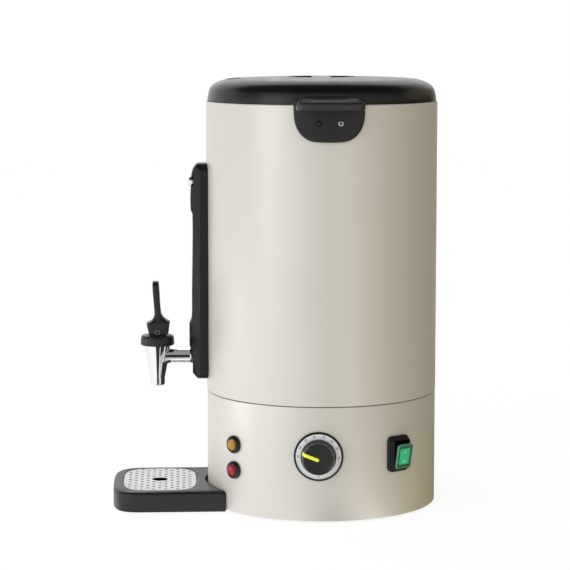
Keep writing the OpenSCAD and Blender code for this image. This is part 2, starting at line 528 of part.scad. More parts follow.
// ---------- lid ----------
module lid_shell() {
    t = lid_top;
    color([0.1, 0.1, 0.1]) difference() {
        union() {
            rotate_extrude() polygon([[0, t], [36.7, t], [66, t - 0.7], [96.4, t - 2.1], [104.7, t - 4.1], [109.9, t - 6.2], [113, t - 8.3], [115, t - 10.3],
                [116.3, t - 12.4], [117.5, t - 16.5], [118.4, t - 20.7], [118.8, lid_z], [116.2, lid_z], [115.9, t - 21], [115, t - 17], [113.6, t - 13],
                [111.5, t - 10.6], [108.5, t - 8.4], [103.8, t - 6.5], [96, t - 4.5], [66, t - 3.1], [36, t - 2.4], [0, t - 2.4]]);
            translate([0, 0, t - 15.5]) cylinder(r = grip_r + 2.4, h = 14);
            for (a = [45, 135, 225, 315]) at(a, 85, 0) translate([0, 0, 411.2]) cylinder(r = 4.5, h = t - 411.2 - 3);
        }
        difference() {
            translate([0, 0, t - 13]) cylinder(r = grip_r, h = 20);
            translate([-grip_bar_w / 2, -60, t - 20]) cube([grip_bar_w, 120, 40]);
        }
        translate([-grip_bar_w / 2 + 2.4, -grip_r + 3, t - 20]) cube([grip_bar_w - 4.8, 2 * grip_r - 6, 17.4]);
        translate([-91.3, 0, t - 12]) linear_extrude(20) polygon(rrect(14.6, 30, 3));
        for (a = [45, 135, 225, 315]) at(a, 85, 0) translate([0, 0, 410]) cylinder(r = 1.6, h = 16);
    }
}
module vent_cap() {
    t = lid_top;
    color([0.08, 0.08, 0.08]) translate([-91.3, 0, 0]) difference() {
        union() {
            translate([0, 0, t - 7]) linear_extrude(3) polygon(rrect(14.4, 29.8, 2.9));
            translate([0, 0, t - 8.2]) linear_extrude(1.2) polygon(rrect(18, 34, 3));
        }
        for (y = [-10, -5, 0, 5, 10]) translate([-4.6, y - 1.1, t - 10]) cube([9.2, 2.2, 10]);
    }
}
module lid_liner() {
    color([0.78, 0.79, 0.8]) difference() {
        rotate_extrude() polygon([[0, 410.4], [107.4, 410.4], [107.4, lid_z + 0.6], [113, lid_z + 0.6], [113, lid_z + 1.3], [106.7, lid_z + 1.3], [106.7, 411.1], [0, 411.1]]);
        for (a = [45, 135, 225, 315]) at(a, 85, 0) translate([0, 0, 409]) cylinder(r = 2, h = 4);
        for (y = [-8, 0, 8]) translate([-91.3, y, 409]) cylinder(r = 2.5, h = 4);
    }
}
module lid_seal() { color([0.3, 0.3, 0.3]) rotate_extrude() polygon([[107.5, lid_z], [112.8, lid_z], [112.8, lid_z + 0.6], [107.5, lid_z + 0.6]]); }
module lid_screws() {
    color("silver") for (a = [45, 135, 225, 315]) at(a, 85, 0) difference() {
        union() { translate([0, 0, 408.6]) cylinder(r = 3.6, h = 1.8); translate([0, 0, 410.3]) cylinder(r = 1.55, h = 12); }
        translate([-2, -0.4, 408.5]) cube([4, 0.8, 0.9]);
        translate([-0.4, -2, 408.5]) cube([0.8, 4, 0.9]);
    }
}

// ---------- drip tray ----------
module drip_tray() {
    color([0.15, 0.15, 0.15]) difference() {
        union() {
            linear_extrude(tray_h - 2.5) polygon(tray_outline(0));
            hull() {
                translate([0, 0, tray_h - 2.51]) linear_extrude(0.01) polygon(tray_outline(0));
                translate([0, 0, tray_h - 0.9]) linear_extrude(0.01) polygon(tray_outline(1.4));
                translate([0, 0, tray_h - 0.01]) linear_extrude(0.01) polygon(tray_outline(4));
            }
        }
        translate([0, 0, -1]) cylinder(r = body_r + 0.6, h = 40);
        translate([-54.9, 0, 3.2]) cylinder(r = 67.7, h = 40);
        translate([-grate_x, 0, 3.4]) linear_extrude(40) polygon(superell(grate_a - 2, grate_b - 2, 3.8, 56));
        translate([-grate_x, 0, tray_h - 1.8]) linear_extrude(40) polygon(superell(grate_a + 0.5, grate_b + 0.5, 3.8, 56));
        // hollow underside between the outer wall and the basin
        difference() {
            translate([0, 0, -1]) linear_extrude(tray_h - 3.6) polygon(tray_outline(2.4));
            translate([0, 0, -2]) cylinder(r = body_r + 3, h = 40);
            translate([-grate_x, 0, -2]) linear_extrude(40) polygon(superell(grate_a + 0.6, grate_b + 0.6, 3.8, 56));
        }
        translate([-grate_x, 0, -1]) linear_extrude(2) polygon(superell(grate_a + 1, grate_b + 1, 3.8, 56));
    }
    color([0.15, 0.15, 0.15]) translate([-122, -22, 0.6]) cube([24, 44, 1.8]);
}
// Rows of one column of drain holes: how many holes it has
function drains(c) = (c == 0 || c == 10) ? 7 : (c % 2 == 1 ? 8 : 9);
module drip_grate() {
    color([0.8, 0.81, 0.82]) translate([-grate_x, 0, tray_h - 1.5]) difference() {
        linear_extrude(1) polygon(superell(grate_a, grate_b, 3.8, 56));
        translate([0, 0, -1]) cylinder(r = 8.2, h = 3);
        for (c = [0:10], i = [0:drains(c) - 1]) let (x = (c - 5) * 6.27, y = (i - (drains(c) - 1) / 2) * 12.2)
            if (norm([x, y]) > 10.5) translate([x, y, -1]) cylinder(r = drain_r, h = 3, $fn = 16);
    }
}

outer_shell();
base_ring();
support_ring();
base_plate();
foot_ring();
base_screws();
base_nuts();
inner_tank();
top_collar();
heat_spreader();
heating_element();
boil_dry_cutout();
sensor_bulb();
heat_shield();
thermostat_body();
thermostat_shaft();
dial_bezel();
dial_plate();
control_knob();
knob_pointer();
switch_housing();
switch_rocker();
rocker_face();
lamp_bezels();
amber_lens();
red_lens();
lamp_nuts();
cable_gland();
gland_nut();
terminal_block();
internal_wiring();
gauge_housing();
gauge_tube();
gauge_window();
gauge_seals();
gauge_tee();
gauge_elbow();
gauge_screw();
tap_body();
tap_nut();
tap_washer();
tap_bonnet();
tap_lever();
lever_pin();
valve_stem();
seat_cup();
valve_spring();
side_handle_right();
side_handle_left();
handle_screws();
handle_backplates();
lid_shell();
lid_liner();
lid_seal();
vent_cap();
lid_screws();
drip_tray();
drip_grate();
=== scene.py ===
import bpy, bmesh, math
import numpy as np
from mathutils import Vector, Matrix


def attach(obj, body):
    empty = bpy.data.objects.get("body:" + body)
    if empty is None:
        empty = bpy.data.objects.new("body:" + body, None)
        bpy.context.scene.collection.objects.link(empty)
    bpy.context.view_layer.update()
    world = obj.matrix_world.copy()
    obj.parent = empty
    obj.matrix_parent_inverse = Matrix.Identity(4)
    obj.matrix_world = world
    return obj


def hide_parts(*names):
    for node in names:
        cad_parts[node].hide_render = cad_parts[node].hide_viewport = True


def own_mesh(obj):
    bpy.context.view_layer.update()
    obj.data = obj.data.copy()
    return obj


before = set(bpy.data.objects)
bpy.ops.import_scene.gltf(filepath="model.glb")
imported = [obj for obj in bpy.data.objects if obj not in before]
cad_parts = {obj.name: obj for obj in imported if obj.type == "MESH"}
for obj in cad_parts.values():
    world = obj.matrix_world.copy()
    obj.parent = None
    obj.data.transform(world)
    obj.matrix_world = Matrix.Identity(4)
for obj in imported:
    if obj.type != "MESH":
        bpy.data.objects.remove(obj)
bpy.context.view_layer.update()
MM = 0.001
pi = math.pi

# ------------------------------------------------------------------ camera
cam_data = bpy.data.cameras.new("camera")
cam_data.lens = 136.45
cam_data.sensor_width = 36
cam_data.clip_start = 0.05
cam_data.clip_end = 50
cam = bpy.data.objects.new("camera", cam_data)
cam.location = (-0.1475, -2.2455, 0.5028)
cam.rotation_euler = (pi / 2 - 0.12189, 0, math.radians(-2.788))
bpy.context.scene.collection.objects.link(cam)
bpy.context.scene.camera = cam


# ------------------------------------------------------------------ materials
def surface(name, base, rough, metallic=0.0, var=0.05, var_scale=25.0, rough_var=0.05, rough_scale=70.0,
            bump=0.12, bump_scale=1500.0, bump_dist=0.00006, stretch=None, coat=0.0, coat_rough=0.1, spec=0.5,
            sss=0.0, sss_radius=0.002, trans=0.0, ior=1.5, emit=0.0, emit_color=None, aniso=0.0, detail=2.0, second=None, cells=False):
    m = bpy.data.materials.new(name)
    m.use_nodes = True
    nt = m.node_tree
    n = nt.nodes
    b = n["Principled BSDF"]
    b.inputs["Metallic"].default_value = metallic
    b.inputs["Specular IOR Level"].default_value = spec
    b.inputs["IOR"].default_value = ior
    b.inputs["Coat Weight"].default_value = coat
    b.inputs["Coat Roughness"].default_value = coat_rough
    b.inputs["Transmission Weight"].default_value = trans
    b.inputs["Anisotropic"].default_value = aniso
    if sss:
        b.inputs["Subsurface Weight"].default_value = sss
        b.inputs["Subsurface Radius"].default_value = (sss_radius, sss_radius, sss_radius)
        b.inputs["Subsurface Scale"].default_value = 1.0
    if emit:
        b.inputs["Emission Color"].default_value = (*(emit_color or base), 1)
        b.inputs["Emission Strength"].default_value = emit
    co = n.new("ShaderNodeTexCoord")
    src = co.outputs["Object"]
    if stretch:
        mp = n.new("ShaderNodeMapping")
        mp.inputs["Scale"].default_value = stretch
        nt.links.new(src, mp.inputs["Vector"])
        fine = mp.outputs["Vector"]
    else:
        fine = src
    # slow colour variation
    nz = n.new("ShaderNodeTexNoise")
    nz.inputs["Scale"].default_value = var_scale
    nz.inputs["Detail"].default_value = detail
    nt.links.new(src if not stretch else fine, nz.inputs["Vector"])
    ramp = n.new("ShaderNodeValToRGB")
    ramp.color_ramp.elements[0].position = 0.3
    ramp.color_ramp.elements[1].position = 0.7
    other = second or tuple(min(1, c * (1 + var)) for c in base)
    ramp.color_ramp.elements[0].color = (*[c * (1 - var) for c in base], 1)
    ramp.color_ramp.elements[1].color = (*other, 1)
    nt.links.new(nz.outputs["Fac"], ramp.inputs["Fac"])
    nt.links.new(ramp.outputs["Color"], b.inputs["Base Color"])
    # roughness variation, as from handling and moulding
    nr = n.new("ShaderNodeTexNoise")
    nr.inputs["Scale"].default_value = rough_scale
    nr.inputs["Detail"].default_value = 3
    nt.links.new(fine, nr.inputs["Vector"])
    mr = n.new("ShaderNodeMapRange")
    mr.inputs["From Min"].default_value = 0.3
    mr.inputs["From Max"].default_value = 0.7
    mr.inputs["To Min"].default_value = max(0.0, rough - rough_var)
    mr.inputs["To Max"].default_value = min(1.0, rough + rough_var)
    nt.links.new(nr.outputs["Fac"], mr.inputs["Value"])
    nt.links.new(mr.outputs["Result"], b.inputs["Roughness"])
    # fine surface grain
    if bump:
        if cells:
            nb = n.new("ShaderNodeTexVoronoi")
            nb.inputs["Scale"].default_value = bump_scale
            out = nb.outputs["Distance"]
        else:
            nb = n.new("ShaderNodeTexNoise")
            nb.inputs["Scale"].default_value = bump_scale
            nb.inputs["Detail"].default_value = 2
            out = nb.outputs["Fac"]
        nt.links.new(fine, nb.inputs["Vector"])
        bp = n.new("ShaderNodeBump")
        bp.inputs["Strength"].default_value = bump
        bp.inputs["Distance"].default_value = bump_dist
        nt.links.new(out, bp.inputs["Height"])
        nt.links.new(bp.outputs["Normal"], b.inputs["Normal"])
    return m


PAINT = surface("champagne_paint", (0.74, 0.712, 0.642), 0.40, metallic=0.3, var=0.012, var_scale=6, rough_var=0.03, rough_scale=40,
                bump=0.06, bump_scale=900, bump_dist=0.00003, coat=0.0)
LID = surface("lid_plastic", (0.006, 0.006, 0.0062), 0.24, var=0.08, var_scale=12, rough_var=0.04, bump=0.10, bump_scale=2600, bump_dist=0.00004, spec=0.39)
HANDLE = surface("handle_plastic", (0.015, 0.015, 0.0152), 0.32, spec=0.34, var=0.08, var_scale=30, rough_var=0.05, bump=0.14, bump_scale=2600, bump_dist=0.00004)
# painted highlight: a lighter copy of the handle plastic, for the grip's front band
HANDLE_BAND_LIT = surface("handle_plastic_band_highlight", (0.021, 0.021, 0.0212), 0.25, spec=0.5, var=0.1, var_scale=30, rough_var=0.08, bump=0.1, bump_scale=2600, bump_dist=0.00004)
GAUGE = surface("gauge_plastic", (0.006, 0.006, 0.0062), 0.34, spec=0.32, var=0.08, var_scale=20, rough_var=0.05, bump=0.14, bump_scale=2600, bump_dist=0.00004)
TRAY = surface("tray_plastic", (0.009, 0.009, 0.0091), 0.36, spec=0.42, var=0.08, var_scale=20, rough_var=0.05, bump=0.18, bump_scale=2200, bump_dist=0.00005, cells=True)
KNOB = surface("knob_plastic", (0.012, 0.012, 0.0122), 0.26, spec=0.4, var=0.08, var_scale=50, rough_var=0.05, bump=0.12, bump_scale=2600, bump_dist=0.00004)
GLOSS = surface("gloss_plastic", (0.004, 0.004, 0.0042), 0.15, spec=0.46, var=0.1, var_scale=60, rough_var=0.05, bump=0.05, bump_scale=1200, bump_dist=0.00003)
SWITCHBLK = surface("switch_plastic", (0.009, 0.009, 0.0092), 0.34, var=0.1, var_scale=60, rough_var=0.05, bump=0.08, bump_scale=2200, bump_dist=0.00003, spec=0.34)
LEVER = surface("lever_plastic", (0.009, 0.009, 0.0092), 0.36, var=0.08, var_scale=30, rough_var=0.05, bump=0.14, bump_scale=2600, bump_dist=0.00004, spec=0.42)
MATTE = surface("matt_plastic", (0.01, 0.01, 0.01), 0.6, var=0.1, var_scale=60, bump=0.2, bump_scale=2200, bump_dist=0.00005)
CAVITY = surface("base_powder_coat", (0.03, 0.03, 0.03), 0.62, var=0.1, var_scale=40, bump=0.3, bump_scale=1400, bump_dist=0.0001, cells=True)
RUBBER = surface("rubber", (0.02, 0.02, 0.02), 0.75, var=0.1, var_scale=80, bump=0.3, bump_scale=1600, bump_dist=0.00008)
CHROME = surface("chrome", (0.885, 0.88, 0.872), 0.05, metallic=1, var=0.01, var_scale=20, rough_var=0.02, rough_scale=60, bump=0.02, bump_scale=300, bump_dist=0.00003)
NICKEL = surface("nickel_screw", (0.78, 0.78, 0.79), 0.22, metallic=1, var=0.05, var_scale=200, rough_var=0.08, rough_scale=500, bump=0.1, bump_scale=2500, bump_dist=0.00003)
HEADMETAL = surface("screw_head_steel", (0.5, 0.5, 0.5), 0.28, metallic=1, var=0.05, var_scale=200, rough_var=0.08, rough_scale=500, bump=0.1, bump_scale=2500, bump_dist=0.00003)
PINMETAL = surface("pin_steel", (0.22, 0.22, 0.22), 0.34, metallic=1, var=0.05, var_scale=200, rough_var=0.08, rough_scale=500, bump=0.1, bump_scale=2500, bump_dist=0.00003)
DARK_SCREW = surface("black_screw", (0.02, 0.02, 0.02), 0.4, metallic=0.6, var=0.1, var_scale=200, bump=0.1, bump_scale=2500, bump_dist=0.00003)
ZINC = surface("zinc", (0.62, 0.62, 0.62), 0.35, metallic=1, var=0.08, var_scale=200, rough_var=0.1, rough_scale=400, bump=0.1, bump_scale=2500, bump_dist=0.00003, second=(0.68, 0.66, 0.58))
STEEL = surface("stainless", (0.66, 0.66, 0.66), 0.28, metallic=1, var=0.03, var_scale=30, rough_var=0.07, rough_scale=60, stretch=(1, 1, 40), bump=0.15, bump_scale=60, bump_dist=0.00004)
TANK = surface("tank_steel", (0.62, 0.62, 0.62), 0.3, metallic=1, var=0.03, var_scale=20, rough_var=0.06, rough_scale=40, stretch=(1, 1, 30), bump=0.12, bump_scale=50, bump_dist=0.00005)
GRATE = surface("grate_steel", (0.93, 0.93, 0.932), 0.36, metallic=0.15, var=0.03, var_scale=60, rough_var=0.07, rough_scale=80, stretch=(1, 25, 1), bump=0.12, bump_scale=120, bump_dist=0.00003)
# painted shade: where the grate's faces stand upright, in its hole walls and round its edge, the colour goes near
# black, as the shade inside the holes
nt = GRATE.node_tree
tcn = nt.nodes.new("ShaderNodeTexCoord")
spn = nt.nodes.new("ShaderNodeSeparateXYZ")
nt.links.new(tcn.outputs["Normal"], spn.inputs["Vector"])
ab = nt.nodes.new("ShaderNodeMath")
ab.operation = "ABSOLUTE"
nt.links.new(spn.outputs["Z"], ab.inputs[0])
mxn = nt.nodes.new("ShaderNodeMix")
mxn.data_type = "RGBA"
nt.links.new(ab.outputs[0], mxn.inputs["Factor"])
mxn.inputs[6].default_value = (0.012, 0.012, 0.012, 1)
nt.links.new(nt.nodes["Principled BSDF"].inputs["Base Color"].links[0].from_socket, mxn.inputs[7])
nt.links.new(mxn.outputs[2], nt.nodes["Principled BSDF"].inputs["Base Color"])
ALU = surface("aluminium", (0.7, 0.71, 0.73), 0.42, metallic=1, var=0.05, var_scale=60, rough_var=0.08, rough_scale=120, bump=0.2, bump_scale=900, bump_dist=0.00005)
GALV = surface("galvanised", (0.55, 0.56, 0.57), 0.42, metallic=1, var=0.12, var_scale=90, rough_var=0.1, rough_scale=110, bump=0.1, bump_scale=300, bump_dist=0.00004, cells=True)
ELEMENT = surface("element_sheath", (0.22, 0.2, 0.19), 0.5, metallic=0.9, var=0.15, var_scale=60, rough_var=0.1, second=(0.3, 0.24, 0.2), bump=0.2, bump_scale=900, bump_dist=0.00005)
CERAMIC = surface("ceramic", (0.74, 0.71, 0.62), 0.6, var=0.05, var_scale=90, bump=0.2, bump_scale=1500)
COPPER = surface("copper", (0.72, 0.42, 0.27), 0.3, metallic=1, var=0.08, var_scale=120, second=(0.6, 0.33, 0.2), rough_var=0.08, bump=0.1, bump_scale=900)
PHENOLIC = surface("phenolic", (0.55, 0.5, 0.4), 0.5, var=0.07, var_scale=120, bump=0.15, bump_scale=1800)
NYLON = surface("nylon_natural", (0.75, 0.73, 0.66), 0.45, var=0.04, var_scale=120, bump=0.12, bump_scale=1800, sss=0.15)
WIRE = surface("wire_insulation", (0.32, 0.1, 0.06), 0.45, var=0.1, var_scale=60, bump=0.1, bump_scale=1500)
SILICONE = surface("red_silicone", (0.5, 0.1, 0.06), 0.55, var=0.06, var_scale=90, bump=0.15, bump_scale=1500, sss=0.1)
SEAT = surface("seat_silicone", (0.68, 0.67, 0.62), 0.5, var=0.04, var_scale=120, bump=0.15, bump_scale=1500, sss=0.2)
SEAL = surface("seal_silicone", (0.16, 0.16, 0.16), 0.6, var=0.06, var_scale=90, bump=0.15, bump_scale=1500)
SPRING = surface("spring_wire", (0.6, 0.6, 0.6), 0.25, metallic=1, var=0.05, var_scale=300, bump=0.1, bump_scale=2500)
GLASS = surface("gauge_glass", (0.93, 0.96, 0.97), 0.04, var=0.01, rough_var=0.01, bump=0.02, bump_scale=60, trans=0.95, ior=1.47)
DIAL = surface("dial_silver", (0.95, 0.952, 0.955), 0.42, metallic=0.1, var=0.02, var_scale=60, rough_var=0.05, rough_scale=300, bump=0.08, bump_scale=2500, bump_dist=0.00002)
INK = surface("printed_ink", (0.2, 0.2, 0.205), 0.5, var=0.1, var_scale=900, bump=0.1, bump_scale=3000)
INKPALE = surface("printed_grey", (0.3, 0.3, 0.31), 0.5, var=0.1, var_scale=900, bump=0.1, bump_scale=3000)
# painted light: the pointer's yellow also glows a little, though it is no lamp
YELLOW = surface("pointer_yellow", (0.88, 0.9, 0.03), 0.35, var=0.03, var_scale=120, bump=0.08, bump_scale=2200, emit=0.15, second=(0.95, 0.93, 0.05))
GREEN = surface("rocker_green", (0.01, 0.19, 0.09), 0.18, var=0.08, var_scale=90, bump=0.05, bump_scale=900, coat=0.4, coat_rough=0.08, trans=0.25, ior=1.49, second=(0.015, 0.26, 0.13))
GREENEDGE = surface("rocker_edge_green", (0.05, 0.33, 0.19), 0.2, var=0.08, var_scale=90, bump=0.05, bump_scale=900, coat=0.4, coat_rough=0.08, ior=1.49, second=(0.08, 0.4, 0.25))
GREENFACE = surface("rocker_face_green", (0.018, 0.5, 0.21), 0.28, var=0.05, var_scale=90, bump=0.06, bump_scale=1200, coat=0.3, coat_rough=0.12, emit=0.12, emit_color=(0.02, 0.6, 0.25), second=(0.03, 0.6, 0.29))
MARK = surface("rocker_marks", (0.55, 0.85, 0.68), 0.4, var=0.05, var_scale=400, bump=0.08, bump_scale=2500, emit=0.1, emit_color=(0.4, 0.8, 0.6))
AMBER = surface("amber_lens", (0.55, 0.24, 0.02), 0.16, var=0.1, var_scale=260, bump=0.12, bump_scale=700, bump_dist=0.0001, cells=True, coat=0.2, coat_rough=0.04, trans=0.15, ior=1.4, second=(0.68, 0.34, 0.02))
RED = surface("red_lens", (0.42, 0.006, 0.016), 0.16, var=0.1, var_scale=260, bump=0.12, bump_scale=700, bump_dist=0.0001, cells=True, coat=0.2, coat_rough=0.04, trans=0.15, ior=1.4, second=(0.55, 0.012, 0.025))


# ------------------------------------------------------------------ outlines
def fillet(pts, closed=True, n=6):
    """Rounds the corners of an outline whose points are (x, y) or (x, y, radius)."""
    out, N = [], len(pts)
    for i, p in enumerate(pts):
        r = p[2] if len(p) > 2 else 0
        if r <= 0 or (not closed and i in (0, N - 1)):
            out.append((p[0], p[1]))
            continue
        q = Vector(p[:2])
        a, b = Vector(pts[i - 1][:2]), Vector(pts[(i + 1) % N][:2])
        u, v = (a - q).normalized(), (b - q).normalized()
        ang = u.angle(v)
        t = min(r / math.tan(ang / 2), (a - q).length * 0.495, (b - q).length * 0.495)
        rr = t * math.tan(ang / 2)
        c = q + (u + v).normalized() * (rr / math.sin(ang / 2))
        s, e = q + u * t, q + v * t
        a0, a1 = math.atan2(s.y - c.y, s.x - c.x), math.atan2(e.y - c.y, e.x - c.x)
        d = (a1 - a0 + pi) % (2 * pi) - pi
        k = max(2, n)
        out += [(c.x + rr * math.cos(a0 + d * j / k), c.y + rr * math.sin(a0 + d * j / k)) for j in range(k + 1)]
    return out


def inset(pts, d):
    """Moves a closed outline inwards by d."""
    P = np.array([p[:2] for p in pts], float)
    nx = np.roll(P, -1, 0)
    area = 0.5 * np.sum(P[:, 0] * nx[:, 1] - nx[:, 0] * P[:, 1])
    e1, e2 = P - np.roll(P, 1, 0), nx - P
    e1 /= np.linalg.norm(e1, axis=1)[:, None] + 1e-12
    e2 /= np.linalg.norm(e2, axis=1)[:, None] + 1e-12
    n1, n2 = np.stack([-e1[:, 1], e1[:, 0]], 1), np.stack([-e2[:, 1], e2[:, 0]], 1)
    den = 1 + np.sum(n1 * n2, 1)
    b = (n1 + n2) / np.maximum(den, 0.25)[:, None]
    return [tuple(v) for v in P + b * (d if area > 0 else -d)]


def smooth_line(pts, k=6):
    """A Catmull-Rom line through points."""
    P = [np.array(p, float) for p in pts]
    P = [2 * P[0] - P[1]] + P + [2 * P[-1] - P[-2]]
    out = []
    for i in range(1, len(P) - 2):
        for j in range(k):
            t = j / k
            out.append(tuple(0.5 * (2 * P[i] + (P[i + 1] - P[i - 1]) * t + (2 * P[i - 1] - 5 * P[i] + 4 * P[i + 1] - P[i + 2]) * t * t
                                    + (3 * P[i] - P[i - 1] - 3 * P[i + 1] + P[i + 2]) * t ** 3)))
    return out + [tuple(P[-2])]


def interp(x, xs, ys):
    return float(np.interp(x, xs, ys))


def rrect(w, h, r, n=6):
    return fillet([(-w / 2, -h / 2, r), (w / 2, -h / 2, r), (w / 2, h / 2, r), (-w / 2, h / 2, r)], n=n)


def superell(a, b, e, n):
    out = []
    for i in range(n):
        t = 2 * pi * i / n
        c, s = math.cos(t), math.sin(t)
        out.append((a * math.copysign(abs(c) ** (2 / e), c), b * math.copysign(abs(s) ** (2 / e), s)))
    return out


# ------------------------------------------------------------------ meshes
def loft(bm, rings, cap0="ngon", cap1="ngon", cyclic=False):
    """Skins a list of closed rings of points in mm. A ring of one point is a pole."""
    vs = [[bm.verts.new(Vector(p) * MM) for p in r] for r in rings]
    pairs = [(vs[i], vs[i + 1]) for i in range(len(vs) - 1)]
    if cyclic:
        pairs.append((vs[-1], vs[0]))
    for a, b in pairs:
        if len(a) == 1 and len(b) == 1:
            continue
        if len(a) == 1:
            for k in range(len(b)):
                bm.faces.new((a[0], b[k], b[(k + 1) % len(b)]))
        elif len(b) == 1:
            for k in range(len(a)):
                bm.faces.new((a[k], b[0], a[(k + 1) % len(a)]))
        else:
            for k in range(len(a)):
                k2 = (k + 1) % len(a)
                bm.faces.new((a[k], b[k], b[k2], a[k2]))
    if not cyclic:
        if cap0 and len(vs[0]) > 2:
            bm.faces.new(vs[0][::-1])
        if cap1 and len(vs[-1]) > 2:
            bm.faces.new(vs[-1])
    return bm


def lathe(bm, prof, seg=96, closed=False, place=None):
    """Turns a profile of (radius, height) about Z. place maps a point in mm."""
    place = place or (lambda p: p)
    rings = []
    for r, z in prof:
        if r < 1e-6:
            rings.append([place((0, 0, z))])
        else:
            rings.append([place((r * math.cos(2 * pi * k / seg), r * math.sin(2 * pi * k / seg), z)) for k in range(seg)])
    return loft(bm, rings, None, None, cyclic=closed)


def outward(az, r, z):
    """Maps a point turned about Z, with its height along Z, to one whose height points outward from the body at az."""
    ca, sa = math.cos(math.radians(az)), math.sin(math.radians(az))

    def f(p):
        x, y, h = p          # the turned piece's own plane: x is tangential, y is up, h is outward
        rad, tan = r + h, x
        return (rad * ca - tan * sa, rad * sa + tan * ca, z + y)
    return f


def grown(bm, outline, levels, place=None, cap0="ngon", cap1="ngon"):
    """Stacks one outline at heights, drawn in by an amount at each: levels are (height, inset)."""
    place = place or (lambda p: p)
    rings = []
    for h, d in levels:
        pts = inset(outline, d) if abs(d) > 1e-9 else outline
        rings.append([place((p[0], p[1], h)) for p in pts])
    return loft(bm, rings, cap0, cap1)


def grown_rect(bm, w, h, r, levels, place, cyclic=False):
    """Like grown, for a rounded rectangle whose corners stay round however far it is drawn in."""
    rings = [[place((p[0], p[1], z)) for p in rrect(w - 2 * d, h - 2 * d, max(0.35, r - d), 8)] for z, d in levels]
    return loft(bm, rings, None if cyclic else "ngon", None if cyclic else "ngon", cyclic)


def round_levels(h0, h1, r0, r1, n=4):
    """Heights and insets of a prism whose lower and upper edges are rounded."""
    out = []
    if r0 > 0:
        out += [(h0 + r0 * (1 - math.cos(pi / 2 * k / n)), r0 * (1 - math.sin(pi / 2 * k / n))) for k in range(n)]
    out.append((h0 + r0, 0))
    out.append((h1 - r1, 0))
    if r1 > 0:
        out += [(h1 - r1 + r1 * math.sin(pi / 2 * k / n), r1 * (1 - math.cos(pi / 2 * k / n))) for k in range(1, n + 1)]
    return out


def obj_of(bm, name, angle=35, weld=True):
    if weld:
        bmesh.ops.remove_doubles(bm, verts=bm.verts, dist=2e-7)
    bmesh.ops.dissolve_degenerate(bm, edges=bm.edges, dist=1e-8)
    bmesh.ops.recalc_face_normals(bm, faces=bm.faces)
    me = bpy.data.meshes.new(name)
    bm.to_mesh(me)
    bm.free()
    ob = bpy.data.objects.new(name, me)
    bpy.context.scene.collection.objects.link(ob)
    shade(ob, angle)
    return ob


def shade(ob, angle=35):
    me = ob.data
    me.polygons.foreach_set("use_smooth", [True] * len(me.polygons))
    me.set_sharp_from_angle(angle=math.radians(angle))
    me.update()


def boolean(ob, tool, op="DIFFERENCE", angle=35, own=False):
    m = ob.modifiers.new("b", "BOOLEAN")
    m.operation = op
    m.object = tool
    m.solver = "EXACT"
    m.use_self = own
    dg = bpy.context.evaluated_depsgraph_get()
    me = bpy.data.meshes.new_from_object(ob.evaluated_get(dg))
    ob.modifiers.clear()
    old = ob.data
    ob.data = me
    bpy.data.meshes.remove(old)
    bpy.data.objects.remove(tool)
    bm = bmesh.new()
    bm.from_mesh(me)
    bmesh.ops.remove_doubles(bm, verts=bm.verts, dist=1e-6)
    bm.to_mesh(me)
    bm.free()
    shade(ob, angle)
    return ob


def piece(ob, mat, body, slot, *nodes):
    ob.data.materials.clear()
    ob.data.materials.append(mat)
    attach(ob, body)
    if nodes:
        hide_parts(*nodes)
    return ob


def recast(node, name, mat, body, slot, angle=30):
    """A piece with a CAD node's own shape, welded and smoothly shaded."""
    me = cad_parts[node].data.copy()
    me.name = name
    bm = bmesh.new()
    bm.from_mesh(me)
    bmesh.ops.remove_doubles(bm, verts=bm.verts, dist=1e-6)
    bmesh.ops.recalc_face_normals(bm, faces=bm.faces)
    me2 = bpy.data.meshes.new(name)
    bm.to_mesh(me2)
    bm.free()
    bpy.data.meshes.remove(me)
    ob = bpy.data.objects.new(name, me2)
    bpy.context.scene.collection.objects.link(ob)
    shade(ob, angle)
    return piece(ob, mat, body, slot, node)


def cyl(r, h0, h1, seg=64, place=None, name="tool"):
    bm = bmesh.new()
    place = place or (lambda p: p)
    ring = lambda h: [place((r * math.cos(2 * pi * k / seg), r * math.sin(2 * pi * k / seg), h)) for k in range(seg)]
    loft(bm, [ring(h0), ring(h1)])
    return obj_of(bm, name)


def block(x0, x1, y0, y1, z0, z1, name="tool"):
    bm = bmesh.new()
    loft(bm, [[(x0, y0, z), (x1, y0, z), (x1, y1, z), (x0, y1, z)] for z in (z0, z1)])
    return obj_of(bm, name)


# ------------------------------------------------------------------ body
SEG = 224
bm = bmesh.new()
lathe(bm, [(119.2, 119.0), (119.25, 118.72), (119.45, 118.6), (119.7, 118.68), (119.9, 118.95), (120, 119.4), (120, 200), (120, 300), (120, 418.6), (119.9, 419.35), (119.55, 419.85),
           (119.0, 420), (116.8, 420), (116.8, 419.2), (118.9, 419.2), (119.2, 418.8)], SEG, closed=True)
shell = piece(obj_of(bm, "jacket", 40), PAINT, "root", "body_paint", "outer_shell")
bm = bmesh.new()
lathe(bm, [(110, 5), (118.4, 5), (118.7, 4.8), (118.85, 4.4), (118.85, 2.2), (119.05, 2), (119.4, 2), (119.62, 2.2), (119.7, 2.5), (119.7, 60), (119.7, 117.0), (119.6, 117.5), (119.3, 117.85),
           (118.9, 117.9), (118.9, 6.6), (118.7, 6.15), (118.2, 6), (110, 6)], SEG, closed=True)
base = piece(obj_of(bm, "heater_ring", 40), PAINT, "root", "body_paint", "base_ring")

